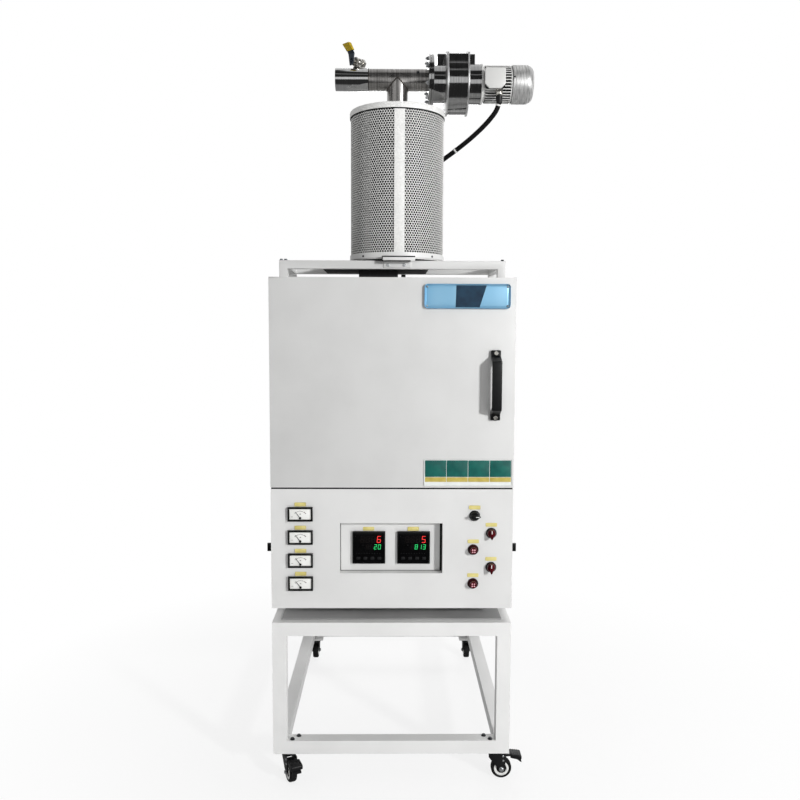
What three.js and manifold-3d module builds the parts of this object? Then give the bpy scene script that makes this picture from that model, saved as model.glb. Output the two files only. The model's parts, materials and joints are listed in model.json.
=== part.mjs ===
// Debinding furnace on a castered stand, with an afterburner tower and an extraction blower.
// Lengths in millimetres, X to the right, Y to the back, Z up. The front of the case is at Y = 0 and
// the middle of its width at X = 0 while it is laid out; the last lines centre the whole part.
import * as THREE from 'three';
import { mergeVertices } from 'three/addons/utils/BufferGeometryUtils.js';
import Module from 'manifold-3d';

const wasm = await Module();
wasm.setup();

// Shared clearances
const seatGap = 0.3;
const overrun = 2;
const runningGap = 0.6;

// Case
const caseWidth = 700;
const caseDepth = 950;
const sheet = 3;
const panelHeight = 352;
const doorSeam = 4.5;
const doorHeight = 601;
const plinthHeight = 44;
const plinthInset = 60;
const plinthSetback = 130;
const trayInset = 25;
const trayThick = 3;

// Stand and casters
const tube = 40;
const standHeight = 400;
const casterHeight = 94;
const casterInset = 40;
const casterPlate = 66;
const casterPlateThick = 4;
const wheelRadius = 31;
const wheelWidth = 22;
const axleRadius = 4;
const casterTrail = 22;
const forkHeadRadius = 22;
const forkHeadHeight = 12;
const cheekThick = 3;
const cheekGap = 1.6;
const cheekTip = 9;
const cheekRoot = 17;
const crownThick = 4;
const pedalPinRadius = 4;
const pedalPinAhead = 4;
const pedalPinAboveWheel = 10;
const pedalWidth = 26;
const pedalReach = 56;
const pedalDrop = 20;
const pedalThick = 5;

// Door
const doorThick = 45;
const doorGap = 3;
const doorStile = 34;
const sealWidth = 14;
const sealReach = 34;
const notchMargin = 6;
const hingeInset = 12;
const hingeSetback = 10;
const hingePinRadius = 4;
const hingePinLength = 24;
const hingeWasherRadius = 9;
const hingeBracketThick = 3;
const hingeBracketWidth = 30;
const hingeBracketLength = 100;
const handleCentreX = 294;
const handleWidth = 28;
const handleHeight = 200;
const handleTop = 1291;
const handleStandOff = 42;
const handleBar = 10;
const handleFoot = 10;
const handleFootLength = 16;
const handleSlope = 15;
const handleLeg = 9;

// Chamber
const chamberWidth = 400;
const chamberHeight = 300;
const chamberDepth = 560;
const liningSideGap = 12;
const liningBack = 120;
const liningTopSpace = 46;
const liningRise = 130;
const plugDepth = 90;
const plugClearance = 8;
const plugTaper = 14;
const hearthThick = 16;
const hearthMargin = 45;
const elementRadius = 4.5;
const elementSpan = 50;
const elementPitch = 150;
const elementCount = 3;
const elementWallGap = 18;
const elementDrop = 240;
const terminalBarHeight = 14;
const terminalBarWidth = 30;
const terminalBarEnd = 30;
const slotMargin = 2.5;
const fillGap = 1;
const coupleRadius = 7;
const coupleHead = 44;
const coupleHeadRadius = 18;
const coupleReach = 60;
const coupleBelowRoof = 90;

// Control panel
const windowWidth = 298;
const windowHeight = 148;
const windowCentreX = -2;
const windowBase = 104;
const recessDepth = 28;
const controllerSize = 96;
const controllerPitch = 131;
const controllerBezel = 8;
const controllerBody = 90;
const controllerDepth = 70;
const controllerDrop = 3.5;
const cutoutClearance = 0.6;
const meterWidth = 72;
const meterHeight = 41.5;
const meterThick = 9;
const meterBodyWidth = 58;
const meterBodyHeight = 32;
const meterBodyDepth = 38;
const meterDialWidth = 62;
const meterDialHeight = 31;
const meterDialDepth = 3.4;
const meterCentreX = -264.5;
const meterLowest = 75;
const meterPitch = 68.2;
const meterCount = 4;
const pointerLength = 23;
const pointerWidth = 1.6;
const pointerThick = 0.9;
const pointerHub = 3.2;
const pointerBelow = 11;
const pointerRest = 38;
const barrelRadius = 11;
const barrelDepth = 42;
const collarRadius = 14.6;
const collarThick = 4;
const stemRadius = 4.5;
const stemBore = 5.2;
const switchRailThick = 3;
const switchRailWidth = 24;
const powerKnobX = 239;
const powerKnobLift = 274.6;
const selectorX = 288;
const selectorUpperLift = 223.6;
const selectorLowerLift = 122.8;
const buttonX = 236;
const buttonUpperLift = 174.6;
const buttonLowerLift = 74.2;
const knobRadius = 11.5;
const knobThick = 8;
const gripLength = 27;
const gripWidth = 8;
const gripThick = 9;
const buttonRadius = 10.2;
const buttonTravel = 4.5;
const buttonEndGap = 0.5;
const buttonThick = 9;
const latchRadius = 12;
const latchReach = 18;
const latchFlange = 4;
const latchSetback = 52;
const latchLift = 168;
const latchStem = 6;
const latchWing = 7;

// Top frame and afterburner tower
const topTube = 25;
const topFrameInset = 5;
const topFrameDepth = 250;
const topFrameSetback = 185;
const topPost = 40;
const towerX = 14;
const guardRadius = 146.5;
const guardSheet = 2;
const guardHeight = 466;
const guardBaseHeight = 24;
const guardBaseFloor = 4;
const guardBaseWall = 2.6;
const capRim = 18;
const capSheet = 3;
const coreRadius = 78;
const coreWall = 16;
const coreLid = 10;
const coreHeadGap = 34;
const boardWidth = 326;
const boardThick = 24;
const boardOffset = -66;
const collarWidth = 122;
const collarOffset = -58;
const flueOffset = -32;
const flueRadius = 26;
const flueBore = 20;
const flueClearance = 1;
const bracketWidth = 84;
const bracketDrop = 22;
const bracketReach = 26;
const bracketThick = 3;
const pipeRadius = 32.5;
const pipeWall = 2.5;
const pipeAxisLift = 104;
const pipeLeft = 194;
const pipeRight = 95.5;
const sleeveLength = 103;
const sleeveWall = 1.6;
const pipeFlangeRadius = 76;
const pipeFlangeThick = 8;

// Valve on the tail pipe
const valveFromEnd = 66;
const nippleRadius = 10;
const valveBodyRadius = 14;
const valveBodyLength = 40;
const valveBodyOffset = 10;
const valveBore = 7;
const valveAxisLift = 20;
const bonnetRadius = 8;
const bonnetLength = 9;
const valveStemRadius = 4;
const valveStemLength = 9;
const leverWidth = 20;
const valveYaw = 45;
const leverThick = 7;
const leverBelow = 14;
const leverKnee = 20;
const leverAbove = 47;
const leverLean = 12;
const leverGripThick = 13;

// Blower
const blowerDrop = 12;
const inletRadius = 56;
const inletLength = 39;
const inletWall = 3;
const scrollRadius = 95;
const hoodReach = 86;
const hoodHeight = 71;
const scrollWidth = 68;
const scrollRim = 4;
const scrollPlate = 5;
const scrollWall = 3;
const outletWidth = 118;
const outletHeight = 86;
const outletReach = 112;
const outletBox = 100;
const outletRise = 2;
const outletWall = 4;
const rearRadius = 60;
const rearLength = 40;
const rearWall = 4;
const impellerRadius = 76;
const impellerWidth = 38;
const impellerDisc = 4;
const impellerGap = 8;
const impellerEye = 30;
const bladeCount = 10;
const bladeThick = 3;
const hubRadius = 16;
const shaftRadius = 9;
const shaftBore = 9.6;
const shaftBearing = 40;
const motorRadius = 50;
const motorLength = 97;
const finDepth = 6;
const finRoot = 2;
const finStart = 14;
const finThick = 2.2;
const finCount = 22;
const motorFlangeRadius = 60;
const motorFlangeThick = 6;
const fanCoverRadius = 58;
const fanCoverLength = 66;
const fanCoverTaper = 10;
const fanCoverTaperLength = 18;
const fanCoverWall = 2.2;
const terminalWidth = 64;
const terminalHeight = 67;
const terminalReach = 27;
const terminalLift = -3.5;
const terminalStart = 7;
const glandRadius = 11;
const glandLength = 14;
const glandInset = 18;
const glandSetback = 16;

// Motor cable, from the terminal box round behind the guard and down to the case roof
const cableRadius = 7.5;
const cableSides = 8;
const cableSteps = 40;
const roofGlandRadius = 13;
const roofGlandHeight = 24;
const inletGlandRadius = 14;
const inletGlandReach = 22;
const inletGlandLift = 70;
const inletGlandX = 250;

// Heights worked out from the sizes above
const standBase = casterHeight;
const standTop = standBase + standHeight;
const panelBase = standTop + plinthHeight;
const panelTop = panelBase + panelHeight;
const doorBase = panelTop + doorSeam;
const doorTop = doorBase + doorHeight;
const caseTop = doorTop - hingeBracketThick;
const caseFront = doorThick + doorGap;
const half = caseWidth / 2;
const frameBase = caseTop + seatGap;
const frameTop = frameBase + topPost + topTube;
const towerY = topFrameSetback + topFrameDepth / 2;
const guardBase = frameTop + seatGap;
const guardTop = guardBase + guardHeight;
const capFloor = guardTop - capSheet;
const coreTop = guardTop - coreHeadGap;
const pipeAxis = guardTop + pipeAxisLift;
const blowerAxis = pipeAxis - blowerDrop;
const pipeEndX = towerX - pipeLeft;
const pipeFlangeX = towerX + pipeRight;
const flueX = towerX + flueOffset;

// Facet counts of the round pieces
const fine = 36;
const plain = 28;
const small = 16;
const tiny = 10;
const hexagon = 6;

// Colours and finishes
function finish(color, roughness, metalness) {
  return new THREE.MeshStandardMaterial({ color, roughness, metalness });
}
const casePaint = finish(0xdadad9, 0.5, 0.05);
const standPaint = finish(0xe6e6e5, 0.45, 0.05);
const blackPlastic = finish(0x17181a, 0.45, 0);
const redPlastic = finish(0x7c1418, 0.4, 0);
const whiteDial = finish(0xf2f2ee, 0.5, 0);
const polishedSteel = finish(0xb9bbbd, 0.16, 1);
const satinSteel = finish(0x9fa1a3, 0.36, 1);
const motorPaint = finish(0xcfd0d0, 0.45, 0.2);
const castAluminium = finish(0xa9abac, 0.4, 0.9);
const fibreBoard = finish(0xe9e4da, 0.95, 0);
const darkBoard = finish(0x2a2b2d, 0.8, 0);
const siliconCarbide = finish(0x4a4742, 0.7, 0.1);
const rubber = finish(0x1b1b1c, 0.85, 0);
const brass = finish(0xb59a55, 0.35, 1);

// Solids: every helper returns a closed solid placed in the layout
function solidOf(geometry) {
  const bare = geometry.index ? geometry.toNonIndexed() : geometry.clone();
  bare.deleteAttribute('normal');
  bare.deleteAttribute('uv');
  const merged = mergeVertices(bare);
  const mesh = new wasm.Mesh({
    numProp: 3,
    vertProperties: new Float32Array(merged.attributes.position.array),
    triVerts: new Uint32Array(merged.index.array),
  });
  mesh.merge();
  return new wasm.Manifold(mesh);
}

function geometryOf(solid) {
  const mesh = solid.getMesh();
  const geometry = new THREE.BufferGeometry();
  geometry.setAttribute('position', new THREE.BufferAttribute(new Float32Array(mesh.vertProperties), 3));
  geometry.setIndex(new THREE.BufferAttribute(new Uint32Array(mesh.triVerts), 1));
  geometry.computeVertexNormals();
  return geometry;
}

function slab(x, y, z) {
  const geometry = new THREE.BoxGeometry(x[1] - x[0], y[1] - y[0], z[1] - z[0]);
  geometry.translate((x[0] + x[1]) / 2, (y[0] + y[1]) / 2, (z[0] + z[1]) / 2);
  return solidOf(geometry);
}

// A round bar between two places on one axis, centred on the other two coordinates
function round(axis, from, to, radius, across, sides = plain, endRadius = radius, turn = 0) {
  const geometry = new THREE.CylinderGeometry(endRadius, radius, to - from, sides);
  geometry.rotateY(turn);
  const middle = (from + to) / 2;
  if (axis === 'x') {
    geometry.rotateZ(-Math.PI / 2);
    geometry.translate(middle, across[0], across[1]);
  } else if (axis === 'y') {
    geometry.translate(across[0], middle, across[1]);
  } else {
    geometry.rotateX(Math.PI / 2);
    geometry.translate(across[0], across[1], middle);
  }
  return solidOf(geometry);
}

// An outline in X and Z drawn out along Y
function outlineAlongY(points, from, to) {
  const shape = new THREE.Shape(points.map(([x, z]) => new THREE.Vector2(x, z)));
  const geometry = new THREE.ExtrudeGeometry(shape, { depth: to - from, bevelEnabled: false });
  geometry.rotateX(Math.PI / 2);
  geometry.translate(0, to, 0);
  return solidOf(geometry);
}

// An outline in Y and Z drawn out along X
function outlineAlongX(points, from, to) {
  const shape = new THREE.Shape(points.map(([y, z]) => new THREE.Vector2(y, z)));
  const geometry = new THREE.ExtrudeGeometry(shape, { depth: to - from, bevelEnabled: false });
  geometry.rotateX(Math.PI / 2);
  geometry.rotateZ(Math.PI / 2);
  geometry.translate(from, 0, 0);
  return solidOf(geometry);
}

function join(...solids) {
  return solids.reduce((whole, solid) => whole.add(solid));
}

const root = new THREE.Group();
function piece(name, solid, material, parent = root) {
  const mesh = new THREE.Mesh(geometryOf(solid), material);
  mesh.name = name;
  parent.add(mesh);
  return mesh;
}

// Stand of square tube with the plates that the casters are bolted to
const frontLeftTurn = 65 * Math.PI / 180;
const casterPlaces = [
  { name: 'front_left', x: -half + casterInset, y: casterInset, turn: -frontLeftTurn },
  { name: 'front_right', x: half - casterInset, y: casterInset, turn: 0 },
  { name: 'rear_left', x: -half + casterInset, y: caseDepth - casterInset, turn: Math.PI / 2 },
  { name: 'rear_right', x: half - casterInset, y: caseDepth - casterInset, turn: Math.PI / 2 },
];
const plateBase = standBase - casterPlateThick;

function standFrame() {
  const sides = [[-half, -half + tube], [half - tube, half]];
  const ends = [[0, tube], [caseDepth - tube, caseDepth]];
  const rails = [];
  for (const z of [[standBase, standBase + tube], [standTop - tube, standTop]]) {
    ends.forEach((y) => rails.push(slab([-half, half], y, z)));
    sides.forEach((x) => rails.push(slab(x, [0, caseDepth], z)));
  }
  for (const x of sides) {
    ends.forEach((y) => rails.push(slab(x, y, [standBase, standTop])));
  }
  for (const place of casterPlaces) {
    const x = [place.x - casterPlate / 2, place.x + casterPlate / 2];
    const y = [place.y - casterPlate / 2, place.y + casterPlate / 2];
    rails.push(slab(x, y, [plateBase, standBase + overrun]));
  }
  return join(...rails);
}

function plinth() {
  const x = [-half + plinthInset, half - plinthInset];
  const y = [plinthSetback, caseDepth - plinthSetback];
  const z = [standTop + seatGap, panelBase - seatGap];
  const hollow = slab(
    [x[0] + sheet, x[1] - sheet],
    [y[0] + sheet, y[1] - sheet],
    [z[0] + trayThick, z[1] + overrun],
  );
  const tray = slab([-half + trayInset, half - trayInset], [trayInset, caseDepth - trayInset],
    [z[0], z[0] + trayThick]);
  return slab(x, y, z).subtract(hollow).add(tray);
}

// One caster, laid out with its swivel axis on Z and its wheel trailing towards +X
const headTop = plateBase - seatGap;
const headBase = headTop - forkHeadHeight;
const cheekInner = wheelWidth / 2 + cheekGap;
const cheekOuter = cheekInner + cheekThick;
const pedalPinX = casterTrail + pedalPinAhead;
const pedalPinZ = wheelRadius * 2 + pedalPinAboveWheel;

function casterFork() {
  const cheek = [
    [-cheekRoot, headBase],
    [-cheekRoot, headBase - cheekTip],
    [casterTrail - cheekTip, wheelRadius],
    [casterTrail, wheelRadius - cheekTip],
    [casterTrail + cheekTip, wheelRadius],
    [pedalPinX + cheekTip, pedalPinZ - cheekTip],
    [pedalPinX + cheekTip, headBase],
  ];
  const crown = slab([-cheekRoot, cheekRoot], [-cheekOuter, cheekOuter],
    [headBase - crownThick, headBase + overrun]);
  const pinHole = round('y', -cheekOuter - overrun, cheekOuter + overrun, pedalPinRadius + runningGap,
    [pedalPinX, pedalPinZ], tiny);
  return join(
    round('z', headBase, headTop, forkHeadRadius, [0, 0], small),
    crown,
    outlineAlongY(cheek, cheekInner, cheekOuter),
    outlineAlongY(cheek, -cheekOuter, -cheekInner),
  ).subtract(pinHole).add(round('y', -cheekOuter - axleRadius / 2, cheekOuter + axleRadius / 2, axleRadius,
    [casterTrail, wheelRadius], tiny));
}

// The wheel stands on a facet, not on an edge
const facetTurn = Math.PI / plain;

function casterWheel() {
  const across = [casterTrail, wheelRadius];
  const treadSide = wheelWidth / 2 - cheekThick;
  return join(
    round('y', -treadSide, treadSide, wheelRadius, across, plain, wheelRadius, facetTurn),
    round('y', -wheelWidth / 2, wheelWidth / 2, wheelRadius - cheekThick, across, plain,
      wheelRadius - cheekThick, facetTurn),
  ).subtract(round('y', -wheelWidth, wheelWidth, axleRadius + runningGap, across, tiny));
}

function brakePedal() {
  const plate = [
    [pedalPinX - pedalPinRadius, pedalPinZ - pedalPinRadius / 2],
    [pedalPinX - pedalPinRadius / 2, pedalPinZ + pedalPinRadius],
    [pedalPinX + pedalReach / 2, pedalPinZ + pedalPinRadius],
    [pedalPinX + pedalReach, pedalPinZ + pedalPinRadius - pedalDrop],
    [pedalPinX + pedalReach, pedalPinZ + pedalPinRadius - pedalDrop - pedalThick],
    [pedalPinX + pedalReach / 2, pedalPinZ + pedalPinRadius - pedalThick],
    [pedalPinX + pedalPinRadius / 2, pedalPinZ - pedalPinRadius],
  ];
  const narrow = cheekInner - seatGap;
  const tread = [
    [pedalPinX + cheekTip + cheekGap, pedalPinZ + pedalPinRadius],
    ...plate.slice(2, 6),
    [pedalPinX + cheekTip + cheekGap, pedalPinZ + pedalPinRadius - pedalThick],
  ];
  return join(
    round('y', -cheekOuter, cheekOuter, pedalPinRadius, [pedalPinX, pedalPinZ], tiny),
    outlineAlongY(plate, -narrow, narrow),
    outlineAlongY(tread, -pedalWidth / 2, pedalWidth / 2),
  );
}

piece('stand_frame', standFrame(), standPaint);
piece('plinth', plinth(), casePaint);
for (const place of casterPlaces) {
  const caster = new THREE.Group();
  caster.position.set(place.x, place.y, 0);
  caster.rotation.z = place.turn;
  root.add(caster);
  piece(`caster_fork_${place.name}`, casterFork(), blackPlastic, caster);
  piece(`caster_wheel_${place.name}`, casterWheel(), rubber, caster);
  piece(`brake_pedal_${place.name}`, brakePedal(), blackPlastic, caster);
}

// Case shells: the lower one holds the controls and the upper one the chamber
const shellBack = caseDepth - sheet - seatGap;
const liningFront = caseFront + sheet + seatGap;
const liningRear = caseDepth - liningBack;
const liningBase = panelTop + seatGap + sheet + seatGap;
const liningTop = caseTop - sheet - liningTopSpace;
const chamberX = [-chamberWidth / 2, chamberWidth / 2];
const chamberY = [liningFront, liningFront + chamberDepth];
const chamberZ = [liningBase + liningRise, liningBase + liningRise + chamberHeight];
const elementX = chamberWidth / 2 - elementWallGap;
const elementMiddle = (chamberY[0] + chamberY[1]) / 2;
const elementHalfRun = (elementCount - 1) * elementPitch / 2 + elementSpan / 2 + elementRadius;
const coupleZ = chamberZ[1] - coupleBelowRoof;
const latchZ = panelBase + latchLift;
const cableEnd = [38, 508];

function lowerCase() {
  const outer = slab([-half, half], [sheet + seatGap, shellBack], [panelBase, panelTop]);
  const inner = slab([-half + sheet, half - sheet], [0, caseDepth], [panelBase + sheet, panelTop - sheet]);
  const latchHoles = round('x', -half - overrun, half + overrun, latchStem + runningGap,
    [latchSetback, latchZ], tiny);
  return outer.subtract(inner).subtract(latchHoles);
}

function upperCase() {
  const base = panelTop + seatGap;
  const outer = slab([-half, half], [caseFront, shellBack], [base, caseTop]);
  const inner = slab([-half + sheet, half - sheet], [caseFront + sheet, caseDepth],
    [base + sheet, caseTop - sheet]);
  const mouth = slab(chamberX, [0, liningFront], chamberZ);
  const flueHole = round('z', caseTop - sheet - overrun, caseTop + overrun, flueRadius + flueClearance,
    [flueX, towerY]);
  const roofGland = round('z', caseTop - overrun, caseTop + roofGlandHeight, roofGlandRadius, cableEnd);
  return outer.subtract(inner).subtract(mouth).subtract(flueHole).add(roofGland);
}

function rearCover() {
  const plate = slab([-half, half], [caseDepth - sheet, caseDepth], [panelBase, caseTop]);
  const gland = round('y', caseDepth - sheet, caseDepth + inletGlandReach, inletGlandRadius,
    [inletGlandX, panelBase + inletGlandLift]);
  return plate.add(gland);
}

function chamberLining() {
  const side = half - sheet - liningSideGap;
  const block = slab([-side, side], [liningFront, liningRear], [liningBase, liningTop]);
  const cavity = slab(chamberX, [liningFront - overrun, chamberY[1]], chamberZ);
  const flueHole = round('z', chamberZ[1] - overrun, liningTop + overrun, flueRadius + flueClearance,
    [flueX, towerY]);
  const coupleHole = round('y', chamberY[1] - overrun, liningRear + overrun, coupleRadius + flueClearance,
    [0, coupleZ], tiny);
  let lining = block.subtract(cavity).subtract(flueHole).subtract(coupleHole);
  for (const side of [-1, 1]) {
    const middle = side * elementX;
    const reach = elementRadius + slotMargin;
    lining = lining.subtract(slab([middle - reach, middle + reach],
      [elementMiddle - elementHalfRun - slotMargin, elementMiddle + elementHalfRun + slotMargin],
      [chamberZ[1] - overrun, liningTop + overrun]));
  }
  return lining;
}

function heatingElement(side) {
  const x = side * elementX;
  const bar = slab([x - terminalBarWidth / 2, x + terminalBarWidth / 2],
    [elementMiddle - elementHalfRun - terminalBarEnd, elementMiddle + elementHalfRun + terminalBarEnd],
    [liningTop + seatGap, liningTop + seatGap + terminalBarHeight]);
  const foot = chamberZ[1] - elementDrop;
  const hairpins = [];
  for (let i = 0; i < elementCount; i += 1) {
    const y = elementMiddle + (i - (elementCount - 1) / 2) * elementPitch;
    for (const end of [-elementSpan / 2, elementSpan / 2]) {
      hairpins.push(round('z', foot, liningTop + terminalBarHeight, elementRadius, [x, y + end], tiny));
    }
    hairpins.push(round('y', y - elementSpan / 2 - elementRadius, y + elementSpan / 2 + elementRadius,
      elementRadius, [x, foot], tiny));
  }
  return join(bar, ...hairpins);
}

function thermocouple() {
  const end = liningRear + coupleHead;
  const stem = round('y', chamberY[1] - coupleReach, end, coupleRadius, [0, coupleZ], tiny);
  const head = round('y', liningRear + seatGap, end, coupleHeadRadius, [0, coupleZ], small);
  return stem.add(head);
}

// Flue: a tube from the chamber ceiling up into the tower, through a dark insulating collar and board
function flueStack() {
  const boardX = towerX + boardOffset;
  const collarX = towerX + collarOffset;
  const boardTop = frameTop - seatGap;
  const inside = [topFrameSetback + topTube + seatGap, topFrameSetback + topFrameDepth - topTube - seatGap];
  const board = slab([boardX - boardWidth / 2, boardX + boardWidth / 2], inside,
    [boardTop - boardThick, boardTop]);
  const collar = slab([collarX - collarWidth / 2, collarX + collarWidth / 2],
    [towerY - collarWidth / 2, towerY + collarWidth / 2], [caseTop + seatGap, boardTop]);
  const pipe = round('z', chamberZ[1] + fillGap, guardBase + guardBaseFloor, flueRadius, [flueX, towerY]);
  const bore = round('z', chamberZ[1], guardBase + guardBaseFloor + overrun, flueBore, [flueX, towerY]);
  return join(board, collar, pipe).subtract(bore);
}

piece('lower_case', lowerCase(), casePaint);
piece('upper_case', upperCase(), casePaint);
piece('rear_cover', rearCover(), casePaint);
piece('chamber_lining', chamberLining(), fibreBoard);
piece('hearth_plate', slab(
  [chamberX[0] + hearthMargin, chamberX[1] - hearthMargin],
  [chamberY[0] + hearthMargin + plugDepth, chamberY[1] - hearthMargin],
  [chamberZ[0] + seatGap, chamberZ[0] + seatGap + hearthThick],
), siliconCarbide);
piece('heating_element_left', heatingElement(-1), siliconCarbide);
piece('heating_element_right', heatingElement(1), siliconCarbide);
piece('thermocouple', thermocouple(), fibreBoard);
piece('flue_stack', flueStack(), darkBoard);

// Door: shell, insulated plug, handle and the two pivot pins at its left edge
const hingeX = -half + hingeInset;
const hingeY = hingeSetback;

function doorShell() {
  const outer = slab([-half, half], [0, doorThick], [doorBase, doorTop]);
  const pocket = slab([-half + sheet, half - sheet], [sheet, doorThick + overrun],
    [doorBase + sheet, doorTop - sheet]);
  const notchEnd = -half + hingeBracketWidth + notchMargin;
  const notch = slab([-half - overrun, notchEnd], [-overrun, doorThick + overrun],
    [caseTop - seatGap, doorTop + overrun]);
  const ledge = slab([-half, notchEnd + sheet], [0, doorThick],
    [caseTop - seatGap - sheet, caseTop - seatGap]);
  const pinHoles = round('z', doorBase - overrun, doorTop + overrun, hingePinRadius + runningGap,
    [hingeX, hingeY], tiny);
  return outer.subtract(pocket).subtract(notch).add(ledge).subtract(pinHoles);
}

// A block whose back face is smaller than its front face
function taperedBlock(x, y, z, taper) {
  const geometry = new THREE.BoxGeometry(x[1] - x[0], y[1] - y[0], z[1] - z[0]);
  const corner = geometry.attributes.position;
  for (let i = 0; i < corner.count; i += 1) {
    if (corner.getY(i) > 0) {
      corner.setX(i, corner.getX(i) - Math.sign(corner.getX(i)) * taper);
      corner.setZ(i, corner.getZ(i) - Math.sign(corner.getZ(i)) * taper);
    }
  }
  geometry.translate((x[0] + x[1]) / 2, (y[0] + y[1]) / 2, (z[0] + z[1]) / 2);
  return solidOf(geometry);
}

function doorPlug() {
  const filling = slab([-half + doorStile, half - doorStile], [sheet + seatGap, doorThick],
    [doorBase + doorStile, doorTop - doorStile]);
  const plugX = [chamberX[0] + plugClearance, chamberX[1] - plugClearance];
  const plugZ = [chamberZ[0] + plugClearance, chamberZ[1] - plugClearance];
  const plug = taperedBlock(plugX, [doorThick - sheet, caseFront + plugDepth], plugZ, plugTaper);
  const sealX = [chamberX[0] - sealReach, chamberX[1] + sealReach];
  const sealZ = [chamberZ[0] - sealReach, chamberZ[1] + sealReach];
  const sealY = [doorThick - sheet, caseFront - seatGap];
  const sealHole = slab([sealX[0] + sealWidth, sealX[1] - sealWidth], [doorThick - sheet * 2, caseFront],
    [sealZ[0] + sealWidth, sealZ[1] - sealWidth]);
  return join(filling, plug, slab(sealX, sealY, sealZ).subtract(sealHole));
}

// Bow handle: a flat foot at each end, a slanted leg and a bar that stands off the door
function doorHandle() {
  const low = handleTop - handleHeight;
  const inner = handleStandOff - handleBar;
  const lowBar = low + handleFootLength + handleSlope;
  const highBar = handleTop - handleFootLength - handleSlope;
  return outlineAlongX([
    [-seatGap, handleTop],
    [-handleFoot, handleTop],
    [-handleFoot, handleTop - handleFootLength],
    [-handleStandOff, highBar],
    [-handleStandOff, lowBar],
    [-handleFoot, low + handleFootLength],
    [-handleFoot, low],
    [-seatGap, low],
    [-seatGap, low + handleFootLength + handleLeg],
    [-inner, lowBar + handleLeg],
    [-inner, highBar - handleLeg],
    [-seatGap, handleTop - handleFootLength - handleLeg],
  ], handleCentreX - handleWidth / 2, handleCentreX + handleWidth / 2);
}

function upperHinge() {
  const base = caseTop + seatGap;
  const bracket = slab([-half, -half + hingeBracketWidth], [0, hingeBracketLength],
    [base, base + hingeBracketThick]);
  return bracket.add(round('z', base - hingePinLength, base + hingeBracketThick, hingePinRadius,
    [hingeX, hingeY], tiny));
}

function lowerHinge() {
  const base = panelTop + seatGap;
  return join(
    round('z', base, doorBase - seatGap, hingeWasherRadius, [hingeX, hingeY + overrun], tiny),
    round('z', base, doorBase + hingePinLength, hingePinRadius, [hingeX, hingeY], tiny),
  );
}

const door = new THREE.Group();
root.add(door);
piece('door_shell', doorShell(), casePaint, door);
piece('door_plug', doorPlug(), fibreBoard, door);
piece('door_handle', doorHandle(), blackPlastic, door);
piece('hinge_pin_upper', upperHinge(), satinSteel);
piece('hinge_pin_lower', lowerHinge(), satinSteel);

// Control panel with its recess, instruments and switches
const windowX = [windowCentreX - windowWidth / 2, windowCentreX + windowWidth / 2];
const windowZ = [panelBase + windowBase, panelBase + windowBase + windowHeight];
const controllerZ = (windowZ[0] + windowZ[1]) / 2 - controllerDrop;
const controllerXs = [windowCentreX - controllerPitch / 2, windowCentreX + controllerPitch / 2];
const switchPlaces = [
  [powerKnobX, panelBase + powerKnobLift],
  [selectorX, panelBase + selectorUpperLift],
  [selectorX, panelBase + selectorLowerLift],
  [buttonX, panelBase + buttonUpperLift],
  [buttonX, panelBase + buttonLowerLift],
];

function around(middle, width, margin = 0) {
  return [middle - width / 2 - margin, middle + width / 2 + margin];
}

function meterZ(i) {
  return panelBase + meterLowest + i * meterPitch;
}

function controlPanel() {
  const through = [-overrun, recessDepth + sheet + overrun];
  const tray = slab([windowX[0] - sheet, windowX[1] + sheet], [0, recessDepth + sheet],
    [windowZ[0] - sheet, windowZ[1] + sheet]);
  let panel = slab([-half, half], [0, sheet], [panelBase, panelTop]).add(tray)
    .subtract(slab(windowX, [-overrun, recessDepth], windowZ));
  for (const x of controllerXs) {
    panel = panel.subtract(slab(around(x, controllerBody, cutoutClearance), through,
      around(controllerZ, controllerBody, cutoutClearance)));
  }
  for (let i = 0; i < meterCount; i += 1) {
    panel = panel.subtract(slab(around(meterCentreX, meterBodyWidth, cutoutClearance), through,
      around(meterZ(i), meterBodyHeight, cutoutClearance)));
  }
  for (const place of switchPlaces) {
    panel = panel.subtract(round('y', through[0], through[1], barrelRadius + cutoutClearance,
      place, small));
  }
  return panel;
}

function controller(x) {
  const bezel = slab(around(x, controllerSize),
    [recessDepth - seatGap - controllerBezel, recessDepth - seatGap], around(controllerZ, controllerSize));
  const body = slab(around(x, controllerBody),
    [recessDepth - seatGap - overrun, recessDepth + controllerDepth], around(controllerZ, controllerBody));
  return bezel.add(body);
}

function meterCase(z) {
  const front = -seatGap - meterThick;
  const bezel = slab(around(meterCentreX, meterWidth), [front, -seatGap], around(z, meterHeight));
  const dial = slab(around(meterCentreX, meterDialWidth), [front - overrun, front + meterDialDepth],
    around(z, meterDialHeight));
  const body = slab(around(meterCentreX, meterBodyWidth), [-seatGap - overrun, meterBodyDepth],
    around(z, meterBodyHeight));
  return bezel.subtract(dial).add(body);
}

// The needle rests on its left stop and swings to the right about its hub
function meterPointer(z) {
  const dialFace = -seatGap - meterThick + meterDialDepth;
  const hubZ = z - pointerBelow;
  const lean = THREE.MathUtils.degToRad(pointerRest);
  const along = [-Math.sin(lean), Math.cos(lean)];
  const across = [Math.cos(lean), Math.sin(lean)];
  const corner = (reach, side) => [
    meterCentreX + along[0] * reach + across[0] * side,
    hubZ + along[1] * reach + across[1] * side,
  ];
  const needle = outlineAlongY([
    corner(0, -pointerWidth / 2),
    corner(0, pointerWidth / 2),
    corner(pointerLength, pointerWidth / 4),
    corner(pointerLength, -pointerWidth / 4),
  ], dialFace - seatGap - pointerThick * 2, dialFace - seatGap - pointerThick);
  return needle.add(round('y', dialFace - seatGap - pointerThick * 2, dialFace - seatGap, pointerHub,
    [meterCentreX, hubZ], tiny));
}

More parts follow.
